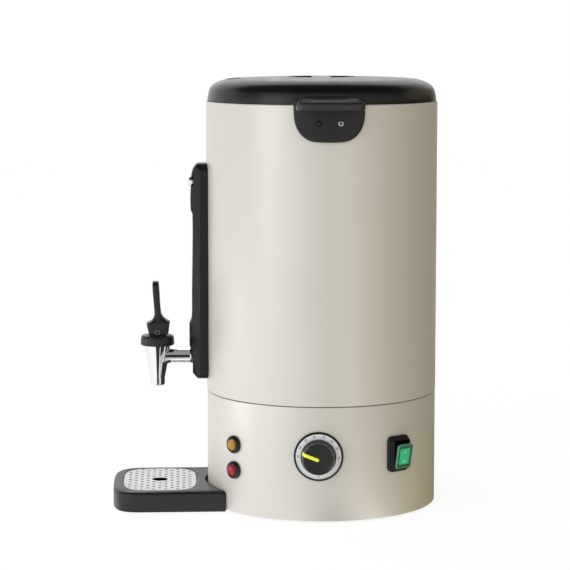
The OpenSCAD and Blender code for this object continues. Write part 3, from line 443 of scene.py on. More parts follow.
# ------------------------------------------------------------------ lid
top = smooth_line([(36.7, 445), (52, 444.75), (66, 444.3), (82, 443.75), (96.4, 442.9), (104.7, 440.9), (109.9, 438.8), (113, 436.7), (115, 434.7), (116.3, 432.6), (117.5, 428.5), (118.4, 424.3), (118.75, 421.3)], 5)
lidp = [(0, 445), (12, 445), (24, 445)] + top + [(118.72, 420.75), (118.45, 420.5), (116.6, 420.5), (116.2, 421), (115.9, 424), (115, 428), (113.6, 432), (111.5, 434.4), (108.5, 436.6),
                                                (103.8, 438.5), (96, 440.5), (66, 441.9), (38, 442.4), (37.9, 429.5), (0, 429.5)]
bm = bmesh.new()
lathe(bm, lidp, SEG)
lid = obj_of(bm, "lid_cover", 40)


def half_moon(sign):
    r, x0 = 35.5, 9.5
    a = math.acos(x0 / r)
    arc = [(r * math.cos(t), r * math.sin(t)) for t in np.linspace(-a, a, 41)]
    pts = [(p[0], p[1], 2.5 if i in (0, 40) else 0) for i, p in enumerate(arc)]
    out = fillet(pts, n=6)
    if sign < 0:
        out = [(-x, y) for x, y in out][::-1]
    bm = bmesh.new()
    grown(bm, out, [(432.0, 1.2), (432.3, 0.5), (433, 0), (444.1, 0), (444.45, -0.1), (444.75, -0.35), (445.0, -0.8), (446, -0.85)])
    return obj_of(bm, "tool")


for s in (1, -1):
    boolean(lid, half_moon(s), angle=40)
# the vent's opening
bm = bmesh.new()
grown(bm, [(x - 91.3, y) for x, y in rrect(14.6, 30, 3)], [(433, 0), (442.2, 0), (444, -0.6)])
boolean(lid, obj_of(bm, "tool"), angle=40)
piece(lid, LID, "lid", "lid_black", "lid_shell")
recast("vent_cap", "vent_grille", MATTE, "lid", "black_plastic")


# ------------------------------------------------------------------ side handles
OUT = [(10, 383.4), (17.5, 384.3), (22.4, 386.2), (27, 389.6), (30.6, 394), (33.1, 399), (34.6, 404.5), (35.3, 411), (35.55, 418), (35.6, 423.2), (35.0, 424.9), (32, 426.4), (25, 428.6), (16, 430.2), (8, 430.9)]
half = smooth_line([(0, 383.2)] + OUT + [(0, 431.1)], 4)
outline = half[:-1] + [(-x, z) for x, z in half[::-1][:-1]]


def arch(y):
    return interp(abs(y), [0, 8, 16, 25, 32, 35, 35.6], [431.1, 430.9, 430.2, 428.6, 426.4, 424.9, 423.2])


def side_handle(az, name, node):
    ca, sa = math.cos(math.radians(az)), math.sin(math.radians(az))
    world = lambda x, y, z: (x * ca - y * sa, x * sa + y * ca, z)
    on = lambda R, y, z: world(math.sqrt(R * R - y * y), y, z)
    # back plate, curved to the jacket
    cz = 407.0
    bm = bmesh.new()
    rings = []
    P = [(x, z) for x, z in outline]

    def shrink(d):
        out = []
        for x, z in P:
            l = math.hypot(x, z - cz)
            out.append((x * (1 - d / l), cz + (z - cz) * (1 - d / l)))
        return out

    for R, d in [(120.03, 0.25), (120.3, 0), (122.9, 0), (123.5, 0.14), (124.0, 0.5), (124.3, 1.0), (124.4, 1.6)]:
        rings.append([on(R, p[0], p[1]) for p in shrink(d)])
    last = shrink(1.6)
    for t in (0.9, 0.75, 0.6, 0.45, 0.3, 0.15):
        rings.append([on(124.4 - 0.5 * (1 - t * t), p[0] * t, cz + (p[1] - cz) * t) for p in last])
    rings.append([on(123.9, 0, cz)])
    back = [[on(120.03, p[0] * t, cz + (p[1] - cz) * t) for p in shrink(0.25)] for t in (0.75, 0.5, 0.25)]
    rings = [[on(120.03, 0, cz)]] + back[::-1] + rings
    loft(bm, rings, None, None)
    plate = obj_of(bm, name, 50)
    # the part of the plate above the shelf is thinner: a rim round the scooped top
    # grip shelf: columns across the width
    W = 33.7
    ys = sorted(set([round(v, 3) for v in np.linspace(-32.0, 32.0, 53)] + [s * v for s in (-1, 1) for v in (32.6, 33.0, 33.3, 33.52, 33.65, 33.7, 30.71, 30.69)]))
    cols = []
    for y in ys:
        a = abs(y)
        xf = interp(a, [0, 10.7, 20.7, 29.5, 31.2, 32.5, 33.2, 33.7], [151, 150.7, 149.8, 147.9, 146.6, 144.6, 142.8, 140.6])
        e = max(0.0, 1.1 - (W - a)) if W - a < 1.1 else 0.0
        drop = 1.1 - math.sqrt(max(0.0, 1.1 ** 2 - e ** 2))
        zb, zt = 415.6 + drop, 423.55 - drop
        xb, xp = math.sqrt(121 ** 2 - y * y), math.sqrt(124.0 ** 2 - y * y) + 0.3
        pocket = a < 30.7
        zp, xi = (420.4 if pocket else zb + 0.02), xf - (3.2 if pocket else 3.2)
        xi = max(xi, xp + 2)
        col = [(xb, zb), (xp, zb), (xp + 0.01, zp), (xi - 0.6, zp), (xi, zp - (0.6 if pocket else 0)), (xi + 0.05, zb + 0.3 if pocket else zb + 0.01), (xi + 0.4, zb)]
        fr = [(xf - 1.2, zb), (xf - 0.5, zb + 0.25), (xf - 0.1, zb + 0.9), (xf - 0.02, zb + 2.0), (xf - 0.25, zb + 3.8), (xf - 0.55, zb + 5.3), (xf - 0.85, zt - 1.5), (xf - 1.25, zt - 0.6), (xf - 1.65, zt - 0.15), (xf - 2.2, zt)]
        col += fr
        xr = math.sqrt(122.3 ** 2 - y * y)
        za = arch(y) - 0.7
        x0, z0 = xf - 2.2, zt
        rise = max(0.0, za - z0)
        for t in np.linspace(0, 1, 17)[1:]:
            # nearly level over the front, then sweeping up to the rim
            x = x0 + (xr - x0) * t
            z = z0 - 0.9 * math.sin(pi * min(1, t * 1.15)) * (1 if t < 0.87 else 0) * 0.8 + rise * t ** 2.6 - drop * 0
            col.append((x, z))
        col.append((xb, za))
        cols.append([world(x, y, z) for x, z in col])
    bm = bmesh.new()
    loft(bm, cols)
    shelf = obj_of(bm, "tool", 50)
    boolean(plate, shelf, "UNION", angle=38)
    # screw recesses
    for y in (-11, 11):
        place = lambda p, y=y: world(p[2], y + p[0], 402 + p[1])
        b2 = bmesh.new()
        ring = lambda r, h: [place((r * math.cos(2 * pi * k / 40), r * math.sin(2 * pi * k / 40), h)) for k in range(40)]
        loft(b2, [ring(3.25, 121.6), ring(3.25, 123.3), ring(3.45, 123.75), ring(4.0, 124.25), ring(4.1, 126)])
        boolean(plate, obj_of(b2, "tool"), angle=38)
    ob = piece(plate, HANDLE, "root", "handle_black", node)
    # painted highlight: the front band of the grip gets a lighter, glossier copy of the handle plastic
    ob.data.materials.append(HANDLE_BAND_LIT)
    for f in ob.data.polygons:
        c = f.center
        if c.x * ca + c.y * sa > 0.1405 and abs(f.normal.z) < 0.5:
            f.material_index = 1
    return ob


side_handle(-90, "handle_near", "side_handle_right")
side_handle(90, "handle_far", "side_handle_left")

# ------------------------------------------------------------------ sight gauge housing
zs_f = [130.4, 136.9, 153, 160.2, 165.2, 188, 193.3, 200, 224, 255, 286, 303.6, 307.6, 317, 332.5, 341.8, 346, 350.1, 353.2, 355.2, 355.9]
xs_f = [129.3, 135.2, 135.2, 136.3, 138.5, 138.5, 136.1, 135.7, 135.6, 135.0, 134.6, 134.8, 136.6, 136.9, 136.4, 135.9, 135.2, 133.9, 131.9, 129.8, 128.4]


def gauge_section(z):
    f = interp(z, zs_f, xs_f)
    w = 18.2
    for end in (355.9 - z, z - 130.4):
        if end < 10:
            w = min(w, 18.2 - (10 - math.sqrt(max(0, 100 - (10 - max(end, 0)) ** 2))))
    w = max(w, 8.4)
    xc = 127.4 + (18.2 - w) / 0.92
    xc = min(xc, f - 0.6)
    yf = min(w - 0.5, 18.2 - (f - 127.4) * 0.92)
    ry = 1.3
    right = [(-xc, w, ry), (-f, yf, ry)]
    full = right + [(-f, -yf, ry), (-xc, -w, ry)]
    pts = []
    b = [(-math.sqrt(120.05 ** 2 - y * y), y) for y in np.linspace(-w, w, 9)]
    poly = [(b[-1][0], b[-1][1])] + full + [(b[0][0], b[0][1])]
    pts = fillet([poly[0]] + [poly[1], poly[2], poly[3], poly[4]] + [poly[5]], n=4)
    pts += b[1:-1]
    return [(x, y, z) for x, y in pts]


levels = sorted(set([130.4, 130.5, 130.8, 131.3, 132, 133, 134.2, 135.5, 136.5, 136.9, 137.6, 139, 142, 146, 149.5, 153, 155, 157.5, 159.5, 160.2, 161, 163, 164.4, 165.2, 166, 170, 180, 187, 188, 189, 191, 192.6, 193.3, 194.2,
                     196, 200, 212, 224, 240, 255, 270, 286, 300, 302.8, 303.6, 304.4, 306.6, 307.6, 308.6, 312, 317, 325, 330.3, 330.4, 336, 342.2, 342.3, 344, 346, 348, 350.1, 351.8, 353.2, 354.3, 355.2, 355.5, 355.75, 355.9]))
bm = bmesh.new()
loft(bm, [gauge_section(z) for z in levels])
gauge = obj_of(bm, "gauge_cover", 24)
boolean(gauge, block(-132, -118, -8.2, 8.2, 146, 326), angle=24)
bm = bmesh.new()
slot_out = rrect(10, 92, 4.9)
place_x = lambda p: (p[2], p[0], 249 + p[1])
grown(bm, slot_out, [(-140, -1.6), (-135.2, -0.6), (-134.5, -0.1), (-133.6, 0), (-130, 0)], place_x)
boolean(gauge, obj_of(bm, "tool"), angle=24)
boolean(gauge, block(-134.2, -132.9, -7.5, 7.5, 200, 298), angle=24)
boolean(gauge, block(-145, -133.6, -22, 22, 330.4, 342.2), angle=24)
boolean(gauge, cyl(7.75, -145, -118, 48, lambda p: (p[2], p[0], 153.2 + p[1])), angle=24)
piece(gauge, GAUGE, "root", "gauge_black", "gauge_housing")

# gauge screw: domed head with a cross slot
out_x = lambda p: (-p[2], -p[0], 336.3 + p[1])
bm = bmesh.new()
lathe(bm, [(0, 113), (2.2, 113), (2.2, 133.6), (5.3, 133.6), (5.55, 133.8), (5.6, 134.1), (5.6, 136.2), (5.45, 136.9), (5.0, 137.8), (4.2, 138.5), (3.0, 138.95), (1.5, 139.15), (0, 139.2)], 64, place=out_x)
gs = obj_of(bm, "gauge_bolt", 40)
for a in (0, 1):
    t = block(-140, -137.9, *((-0.6, 0.6) if a else (-3.3, 3.3)), *((336.3 - 3.3, 336.3 + 3.3) if a else (335.7, 336.9)))
    boolean(gs, t, angle=40)
piece(gs, NICKEL, "root", "bright_screw", "gauge_screw")

# ------------------------------------------------------------------ tap
bm = bmesh.new()
prof = fillet([(4.5, 123.8), (4.9, 123), (7.0, 123, 0.5), (7.5, 124, 0.6), (7.7, 131, 8), (9.6, 141, 30), (11.6, 151.5, 30), (13.9, 163.6, 2), (14.1, 165.2, 0.3), (12.6, 165.2), (12.6, 171.2), (9, 171.2), (9, 147.5), (7.4, 147.5), (7.4, 141), (4.5, 141)], n=5)
lathe(bm, prof, 128, closed=True, place=lambda p: (p[0] - 172, p[1], p[2]))
tap = obj_of(bm, "tap_spout", 40)
bm = bmesh.new()
to_x = lambda p: (p[2], p[0], 153.2 + p[1])
lathe(bm, [(0, -167), (7.5, -167), (8.9, -163.8), (8.6, -162.6), (8.0, -161.4), (7.6, -160), (7.5, -158.5), (7.5, -139.5), (7.75, -138.9), (7.75, -137.6), (7.5, -137), (7.5, -99), (7, -98), (0, -98)], 96, place=to_x)
sh = obj_of(bm, "tool", 40)
boolean(tap, sh, "UNION", angle=40)
boolean(tap, cyl(4.5, -172, -90, 64, to_x), angle=40)
boolean(tap, cyl(7.4, 141, 147.6, 64, lambda p: (p[0] - 172, p[1], p[2])), angle=40)
boolean(tap, cyl(9, 147.5, 180, 64, lambda p: (p[0] - 172, p[1], p[2])), angle=40)
piece(tap, CHROME, "root", "tap_chrome", "tap_body")

bm = bmesh.new()
tapz = lambda p: (p[0] - 172, p[1], p[2])
lathe(bm, fillet([(12.7, 165.3), (17.1, 165.3, 0.6), (17.75, 166.4, 0.6), (17.4, 172.4, 3), (16.3, 175.5, 1.6), (12.5, 175.55, 1.5), (10.2, 175.3, 0.4), (9.8, 176.3, 0.2), (3.7, 176.3, 0.2), (3.7, 175.4), (2.58, 175.4), (2.58, 171.8), (12.7, 171.8)], n=5), 128, closed=True, place=tapz)
piece(obj_of(bm, "tap_cap", 40), HANDLE, "root", "tap_black", "tap_bonnet")

# lever: sections from the heel up to the grip's tip
LV = [  # z, left x, right x, half width, squareness
    (176.95, -179.3, -162.1, 8.7, 5.0), (177.05, -179.9, -161.5, 9.3, 5.5), (177.4, -180.7, -160.9, 9.75, 6.0), (178.2, -181.2, -160.4, 9.95, 6.5), (180, -181.7, -160.1, 10, 7), (184, -182.5, -159.7, 10, 7), (187.2, -183.1, -159.3, 10, 7),
    (187.9, -183.25, -159.1, 10, 7), (188.5, -183.1, -158.9, 9.95, 7), (189.0, -181.9, -158.85, 9.8, 6.5), (189.6, -180.4, -158.9, 9.6, 6), (190.2, -179.3, -159.3, 9.4, 5.5), (190.8, -178.4, -160.6, 9.2, 5), (191.6, -177.6, -162.0, 8.95, 4.5), (192.6, -176.9, -163.3, 8.6, 4.2),
    (193.7, -176.3, -164.5, 8.3, 4.2), (195, -175.8, -165.7, 8.0, 4.2), (196.6, -175.2, -166.9, 7.9, 4.4), (198, -174.95, -167.7, 7.9, 4.6), (200.5, -175.05, -168.1, 8.0, 4.8), (204, -175.3, -168.45, 8.2, 5), (210, -175.85, -168.9, 8.8, 5), (216, -176.3, -169.2, 9.4, 5), (222, -176.8, -169.55, 9.95, 5),
    (226, -176.95, -169.85, 10.2, 5), (228, -176.98, -169.95, 9.9, 5), (229.4, -176.97, -170.05, 9.35, 5), (230.4, -176.92, -170.15, 8.6, 5), (231.2, -176.8, -170.35, 7.6, 5), (231.8, -176.55, -170.65, 6.3, 4.6), (232.2, -176.1, -171.1, 4.6, 4.2), (232.4, -175.4, -171.8, 2.4, 4)]
rows = np.array(LV, float)
zz = []
for i in range(len(rows) - 1):
    zz += list(np.linspace(rows[i, 0], rows[i + 1, 0], 3)[:-1])
zz.append(rows[-1, 0])
bm = bmesh.new()
rings = []
for z in zz:
    l, r, w, e = [float(np.interp(z, rows[:, 0], rows[:, k])) for k in (1, 2, 3, 4)]
    rings.append([((l + r) / 2 + x, y, z) for x, y in superell((r - l) / 2, w, e, 72)])
loft(bm, rings)
lever = obj_of(bm, "lever_grip", 32)
boolean(lever, block(-178, -168, -3, 3, 170, 179.4), angle=32)
boolean(lever, cyl(4.4, -3, 3, 40, lambda p: (p[0] - 172, p[2], 179.4 + p[1])), angle=32)
for s in (-1, 1):
    boolean(lever, cyl(2.95, 9.2, 12, 40, lambda p, s=s: (p[0] - 172, s * p[2], 179.4 + p[1])), angle=32)
piece(lever, LEVER, "lever", "tap_black", "tap_lever")
bm = bmesh.new()
for s in (-1, 1):
    lathe(bm, [(1.9, 9.0), (2.75, 9.0), (2.75, 9.55), (2.55, 9.6), (2.5, 9.85), (2.42, 9.9), (2.2, 9.9), (2.12, 9.85), (2.1, 9.3), (1.9, 9.3)], 48, closed=True, place=lambda p, s=s: (p[0] - 172, s * p[2], 179.4 + p[1]))
lathe(bm, [(0, -9), (1.95, -9), (1.95, 9), (0, 9)], 32, place=lambda p: (p[0] - 172, p[2], 179.4 + p[1]))
piece(obj_of(bm, "lever_rivet", 35), PINMETAL, "lever", "zinc_steel", "lever_pin")

# ------------------------------------------------------------------ thermostat dial
DAZ, DZ = -94.9, 68.6
dial = outward(DAZ, 120, DZ)
body_cut = lambda seg=240: cyl(119.72, 20, 110, seg)
bm = bmesh.new()
lathe(bm, fillet([(22.95, 1.45), (22.95, 2.1, 0.15), (24.2, 2.25, 0.5), (25.0, 1.6, 0.5), (25, -4), (5.2, -4), (5.2, 1.45)], n=4), 128, closed=True, place=dial)
bez = obj_of(bm, "dial_rim", 40)
boolean(bez, body_cut(), angle=40)
piece(bez, GLOSS, "root", "gloss_black", "dial_bezel")
bm = bmesh.new()
lathe(bm, [(5.2, 1.5), (22.85, 1.5), (22.9, 1.6), (22.85, 1.88), (22.6, 1.92), (18.4, 1.9), (5.2, 1.9)], 128, closed=True, place=dial)
piece(obj_of(bm, "dial_face", 40), DIAL, "root", "dial_silver", "dial_plate")


def bar(bm, place, r0, r1, w, ang, h0=1.9, h1=1.96):
    c, s = math.cos(math.radians(ang)), math.sin(math.radians(ang))
    q = [(r0, -w / 2), (r1, -w / 2), (r1, w / 2), (r0, w / 2)]
    ring = lambda h: [place((r * c - t * s, r * s + t * c, h)) for r, t in q]
    loft(bm, [ring(h0), ring(h1)])


def arc_band(bm, place, a0, a1, rin, rout, n=40, h0=1.9, h1=1.95):
    """A printed band between two radii that may change along it."""
    f = lambda h: [place((rin(t) * math.cos(math.radians(a0 + (a1 - a0) * t)), rin(t) * math.sin(math.radians(a0 + (a1 - a0) * t)), h)) for t in np.linspace(0, 1, n)] + \
        [place((rout(t) * math.cos(math.radians(a0 + (a1 - a0) * t)), rout(t) * math.sin(math.radians(a0 + (a1 - a0) * t)), h)) for t in np.linspace(1, 0, n)]
    loft(bm, [f(h0), f(h1)])


def text_mesh(bm, txt, size, cx, cy, ang, place, h0=1.9, h1=1.97, bold=0.0):
    cu = bpy.data.curves.new("t", "FONT")
    cu.body = txt
    cu.size = size
    cu.align_x = "CENTER"
    cu.align_y = "CENTER"
    cu.offset = bold
    cu.extrude = 0.5
    ob = bpy.data.objects.new("t", cu)
    bpy.context.scene.collection.objects.link(ob)
    dg = bpy.context.evaluated_depsgraph_get()
    me = bpy.data.meshes.new_from_object(ob.evaluated_get(dg))
    c, s = math.cos(math.radians(ang)), math.sin(math.radians(ang))
    vs = []
    for v in me.vertices:
        x, y, z = v.co
        vs.append(bm.verts.new(Vector(place((cx + x * c - y * s, cy + x * s + y * c, h0 if z < 0 else h1))) * MM))
    for p in me.polygons:
        try:
            bm.faces.new([vs[i] for i in p.vertices])
        except ValueError:
            pass
    bpy.data.objects.remove(ob)
    bpy.data.meshes.remove(me)
    bpy.data.curves.remove(cu)


bm = bmesh.new()
for i, num in enumerate((30, 40, 50, 60, 70, 80, 90, 100)):
    a = 180 - 26 * i
    text_mesh(bm, str(num), 3.1, 20.45 * math.cos(math.radians(a)), 20.45 * math.sin(math.radians(a)), a - 90, dial, bold=0.03)
piece(obj_of(bm, "dial_numbers", 30), INK, "root", "dial_silver")
bm = bmesh.new()
for i in range(0, 43):
    a = 193 + i * (154 / 42)
    L = 0.5 + 1.5 * abs(i - 21) / 21
    bar(bm, dial, 21.9 - L, 21.9, 0.16, a)
arc_band(bm, dial, 191, 349, lambda t: 22.05, lambda t: 22.3)
bm2 = bm
piece(obj_of(bm2, "dial_scale", 30), INKPALE, "root", "dial_silver")
bm = bmesh.new()
lathe(bm, [(0, 1.9), (0.75, 1.9), (0.75, 1.96), (0, 1.97)], 24, place=lambda p: dial((p[0], p[1] - 20.4, p[2])))
piece(obj_of(bm, "dial_stop_mark", 30), INK, "root", "dial_silver")

# knob
bm = bmesh.new()
kp = fillet([(3.9, 2.4), (17.7, 2.4, 0.3), (17.9, 3.0, 0.3), (17.85, 6.6, 0.8), (17.3, 7.8, 0.4), (17.25, 9.0, 0.4), (16.7, 9.7, 0.3), (16.4, 11.6, 0.3), (15.35, 18.6, 1.0), (14.7, 20.3, 0.9), (13.6, 20.35, 0.8), (12.9, 19.95, 1.2), (8, 19.75, 10), (0.001, 19.6)], closed=False, n=5)
kp = kp[:-1] + [(0, 19.6), (0, 14), (3.05, 14), (3.05, 5), (3.9, 5)]
lathe(bm, kp + [kp[0]], 128, place=dial)
piece(obj_of(bm, "thermostat_knob", 30), KNOB, "knob", "knob_black", "control_knob")
# pointer: a rounded bar that runs over the knob's edge
PA = math.radians(159)
bm = bmesh.new()
path = smooth_line([(-1.0, 20.25), (2, 20.35), (6, 20.45), (9.5, 20.5), (12.2, 20.55), (13.7, 20.35), (14.8, 19.5), (15.5, 17.9), (15.95, 16.0), (16.3, 14.0), (16.55, 12.3)], 4)
rings = []
tot = [0]
for i in range(1, len(path)):
    tot.append(tot[-1] + math.dist(path[i], path[i - 1]))
for i, (u, h) in enumerate(path):
    a, b = path[max(0, i - 1)], path[min(len(path) - 1, i + 1)]
    tx, th = b[0] - a[0], b[1] - a[1]
    l = math.hypot(tx, th)
    nx, nh = -th / l, tx / l
    e = min(tot[i], tot[-1] - tot[i])
    f = math.sqrt(max(0.0, 1 - (1 - min(1, e / 1.75)) ** 2))
    f = max(f, 0.06)
    sec = []
    for k in range(16):
        t = 2 * pi * k / 16
        x = math.copysign(abs(math.cos(t)) ** 0.75, math.cos(t)) * 1.75 * f
        y = math.copysign(abs(math.sin(t)) ** 0.8, math.sin(t)) * 0.68 * (0.6 + 0.4 * f)
        uu, hh = u + nx * y, h + nh * y
        sec.append(dial((uu * math.cos(PA) - x * math.sin(PA), uu * math.sin(PA) + x * math.cos(PA), hh)))
    rings.append(sec)
loft(bm, rings)
piece(obj_of(bm, "pointer_bar", 45), YELLOW, "knob", "pointer_yellow", "knob_pointer")

# ------------------------------------------------------------------ rocker switch
SAZ, SZ = -53.4, 66.6
sw = outward(SAZ, 120, SZ)
bm = bmesh.new()
grown(bm, rrect(22.4, 30.4, 1), [(-6, 0), (4, 0)], sw)
boolean(base, obj_of(bm, "tool"), angle=40)
bm = bmesh.new()
grown(bm, rrect(26.8, 36.8, 5.2, 8), round_levels(-2, 3.0, 0, 1.1, 5)[0:], sw)
frame_sw = obj_of(bm, "switch_frame", 35)
for (w, h, r, h0, h1, rr) in [(24.2, 32.8, 4.2, 2, 5.2, 0.5), (22.6, 30.8, 3.6, 4, 7.2, 0.5)]:
    bm = bmesh.new()
    grown(bm, rrect(w, h, r, 8), round_levels(h0, h1, 0, rr, 4), sw)
    boolean(frame_sw, obj_of(bm, "tool"), "UNION", angle=35)
boolean(frame_sw, body_cut(), angle=35)
bm = bmesh.new()
grown(bm, rrect(21.8, 29.8, 0.8, 3), [(-26, 0), (1, 0)], sw)
boolean(frame_sw, obj_of(bm, "tool"), "UNION", angle=35)
bm = bmesh.new()
grown(bm, rrect(20.9, 28.7, 2.2, 6), [(1, 0), (6.9, 0), (7.3, -0.25), (9, -0.3)], sw)
boolean(frame_sw, obj_of(bm, "tool"), angle=35)
bm = bmesh.new()
grown(bm, rrect(19.8, 27.8, 0.8, 3), [(-9, 0), (1.1, 0)], sw)
boolean(frame_sw, obj_of(bm, "tool"), angle=35)
bm = bmesh.new()
for z in (-9, 0, 9):
    grown(bm, [(-3, z - 0.4), (3, z - 0.4), (3, z + 0.4), (-3, z + 0.4)], [(-33, 0), (-25.9, 0)], sw)
blades = piece(obj_of(bm, "switch_terminals", 30), ZINC, "root", "zinc_steel")
piece(frame_sw, SWITCHBLK, "root", "gloss_black", "switch_housing")
tilt = math.radians(10)


def rock(p):
    """A point on the rocker: tangential, up and outward from its pivot, tilted at rest."""
    x, y, h = p
    # turning the outward axis down by the tilt moves the top edge outward
    up = y * math.cos(tilt) - h * math.sin(tilt)
    outw = h * math.cos(tilt) + y * math.sin(tilt)
    return sw((x, up, outw + 1))


bm = bmesh.new()
grown_rect(bm, 19.9, 25.4, 2.6, [(7.5, 0.55), (8.4, 0.12), (9.0, 0.0), (9.6, 0.05), (10.05, 0.3), (10.25, 0.75), (10.3, 1.1), (10.3, 2.0), (10.22, 2.25), (9.95, 2.4), (9.9, 2.5), (9.9, 3.0), (9.5, 3.15), (9.45, 3.5)], rock)
rk = obj_of(bm, "rocker_frame", 35)
piece(rk, GREEN, "rocker", "rocker_green", "switch_rocker")
bm = bmesh.new()
grown_rect(bm, 19.94, 25.44, 2.62, [(8.7, 0.0), (9.6, 0.03), (10.07, 0.28), (10.28, 0.72), (10.34, 1.0), (10.15, 1.0), (9.4, 0.5), (8.7, 0.3)], rock, cyclic=True)
piece(obj_of(bm, "rocker_edge", 35), GREENEDGE, "rocker", "rocker_green")
bm = bmesh.new()
grown(bm, rrect(19.5, 25.0, 2.8, 8), [(3.0, 1.2), (5.0, 0.9), (6.4, 0.35), (7.6, 0.0), (7.9, 0.3), (8.0, 0.9)], rock)
skirt = obj_of(bm, "rocker_skirt", 35)
bm = bmesh.new()
ring = lambda y: [rock((y, b, a)) for a, b in [(-4.5, -3), (-4.5, 3), (0, 11.6), (4.5, 11.6), (4.5, -11.6), (0, -11.6)]]
loft(bm, [ring(-9.5), ring(9.5)])
boolean(skirt, obj_of(bm, "tool"), "UNION", angle=35)
piece(skirt, SWITCHBLK, "rocker", "gloss_black")
bm = bmesh.new()
grown(bm, rrect(13.0, 17.0, 1.0, 6), round_levels(9.4, 10.15, 0, 0.3, 3), rock)
piece(obj_of(bm, "rocker_lens", 35), GREENFACE, "rocker", "rocker_face_green", "rocker_face")
bm = bmesh.new()
grown(bm, rrect(0.85, 3.6, 0.4, 4), [(10.1, 0), (10.24, 0.05)], lambda p: rock((p[0], p[1] + 5.0, p[2])))
lathe(bm, [(0.95, 10.1), (1.6, 10.1), (1.58, 10.24), (0.97, 10.24)], 40, closed=True, place=lambda p: rock((p[0], p[1] - 5.2, p[2])))
piece(obj_of(bm, "rocker_marks", 30), MARK, "rocker", "rocker_face_green")

# ------------------------------------------------------------------ signal lamps
LAZ = -141.3
bm = bmesh.new()
for z in (73, 46.5):
    lathe(bm, fillet([(5.85, -18), (7, -18), (7, -2.5), (9.25, -2.5), (9.25, 1.0, 0.6), (8.9, 2.6, 1.5), (8.0, 3.7, 1.0), (6.9, 4.1, 0.5), (6.35, 3.7, 0.3), (6.1, 2.9, 0.2), (5.85, 2.6)], n=4), 80, closed=True, place=outward(LAZ, 120, z))
bz = obj_of(bm, "lamp_rims", 38)
piece(bz, GLOSS, "root", "gloss_black", "lamp_bezels")
for z, m, nm, node, sl in ((73, AMBER, "lamp_amber", "amber_lens", "amber"), (46.5, RED, "lamp_red", "red_lens", "red")):
    bm = bmesh.new()
    lathe(bm, [(0, -8), (5.8, -8), (5.8, 3.6), (5.75, 4.0), (5.5, 4.3), (5.1, 4.4), (4.95, 4.55), (4.85, 5.0), (4.5, 5.35), (3.6, 5.75), (2.4, 6.02), (1.2, 6.15), (0, 6.18)], 64, place=outward(LAZ, 120, z))
    piece(obj_of(bm, nm, 30), m, "root", sl, node)

# ------------------------------------------------------------------ drip tray
TH = 22.0


def tray_outline(d, rear=-100.0):
    pts = [(rear, -(64 - d))]
    for i in range(65):
        t = math.radians(-90 + 180 * i / 64)
        c, s = math.cos(t), math.sin(t)
        pts.append((-179 - (40 - d) * abs(c) ** 0.5, (64 - d) * math.copysign(abs(s) ** 0.5, s)))
    pts.append((rear, 64 - d))
    return pts


def clean(pts, tol=0.02):
    out = [pts[0]]
    for p in pts[1:]:
        if math.dist(p, out[-1]) > tol:
            out.append(p)
    return out


def stack(name, levels, cap0=True, cap1=True, angle=35):
    bm = bmesh.new()
    loft(bm, [[(x, y, z) for x, y in tray_outline(d)] for z, d in levels], cap0, cap1)
    return obj_of(bm, name, angle)


tray = stack("tray_shell", [(0.0, 1.6), (0.25, 0.9), (0.8, 0.35), (1.6, 0.08), (2.6, 0), (17.6, 0), (18.6, 0.06), (19.4, 0.3), (20.1, 0.8), (20.6, 1.5), (21.0, 2.3), (21.35, 3.3), (21.6, 4.3), (21.75, 5.2), (21.85, 6.0)], angle=30)
# the top sags a little towards the grate's seat, then drops to the basin
GX = -170.3


def gr(a, b, z, n=112):
    return [(GX + x, y, z) for x, y in superell(a, b, 3.8, n)]


bm = bmesh.new()
loft(bm, [gr(40.2, 56.7, 25), gr(40.2, 56.7, 21.9), gr(39.6, 56.1, 21.82), gr(39.0, 55.5, 21.6), gr(38.6, 55.1, 21.2), gr(38.5, 55.0, 20.4), gr(38.4, 54.9, 20.3), gr(36.2, 52.7, 20.3), gr(36.0, 52.5, 20.0), gr(35.6, 52.1, 6.0), gr(34.6, 51.2, 4.2), gr(32.6, 49.2, 3.4)])
boolean(tray, obj_of(bm, "tool"), angle=30)
boolean(tray, cyl(120.6, -5, 40, 240), angle=30)
bm = bmesh.new()
loft(bm, [[(-54.9 + r * math.cos(t), r * math.sin(t), z) for t in np.linspace(0, 2 * pi, 200, endpoint=False)] for r, z in ((67.7, 3.2), (67.7, 21.2), (68.3, 21.9), (68.5, 22.5))])
boolean(tray, obj_of(bm, "tool"), angle=30)
# hollow underside
bm = bmesh.new()
loft(bm, [[(x, y, z) for x, y in tray_outline(2.4, -100)] for z in (-1, 18.4)])
hol = obj_of(bm, "tool")
boolean(hol, cyl(123, -5, 40, 200))
bm = bmesh.new()
loft(bm, [gr(38.6, 55.1, -5), gr(38.6, 55.1, 40)])
boolean(hol, obj_of(bm, "tool2"))
boolean(tray, hol, angle=30)
bm = bmesh.new()
loft(bm, [gr(39, 55.5, -5), gr(39, 55.5, 1.0)])
boolean(tray, obj_of(bm, "tool"), angle=30)
bm = bmesh.new()
grown(bm, [(-122, -22), (-98, -22), (-98, 22), (-122, 22)], round_levels(0.6, 2.4, 0.3, 0.3, 2))
boolean(tray, obj_of(bm, "tool"), "UNION", angle=30)
piece(tray, TRAY, "tray", "tray_black", "drip_tray")
recast("drip_grate", "grate_plate", GRATE, "grate", "grate_steel", 30)

# ------------------------------------------------------------------ handle screws
bm = bmesh.new()


def screw_head(bm, az, y, z, h):
    ca, sa = math.cos(math.radians(az)), math.sin(math.radians(az))
    place = lambda p: ((p[2]) * ca - (y + p[0]) * sa, (p[2]) * sa + (y + p[0]) * ca, z + p[1])
    lathe(bm, [(0, 113.6), (1.95, 113.6), (1.95, h - 1.8), (3.0, h - 1.8), (3.05, h - 0.9), (2.85, h - 0.45), (2.3, h - 0.15), (1.2, h), (0, h)], 48, place=place)
    return place


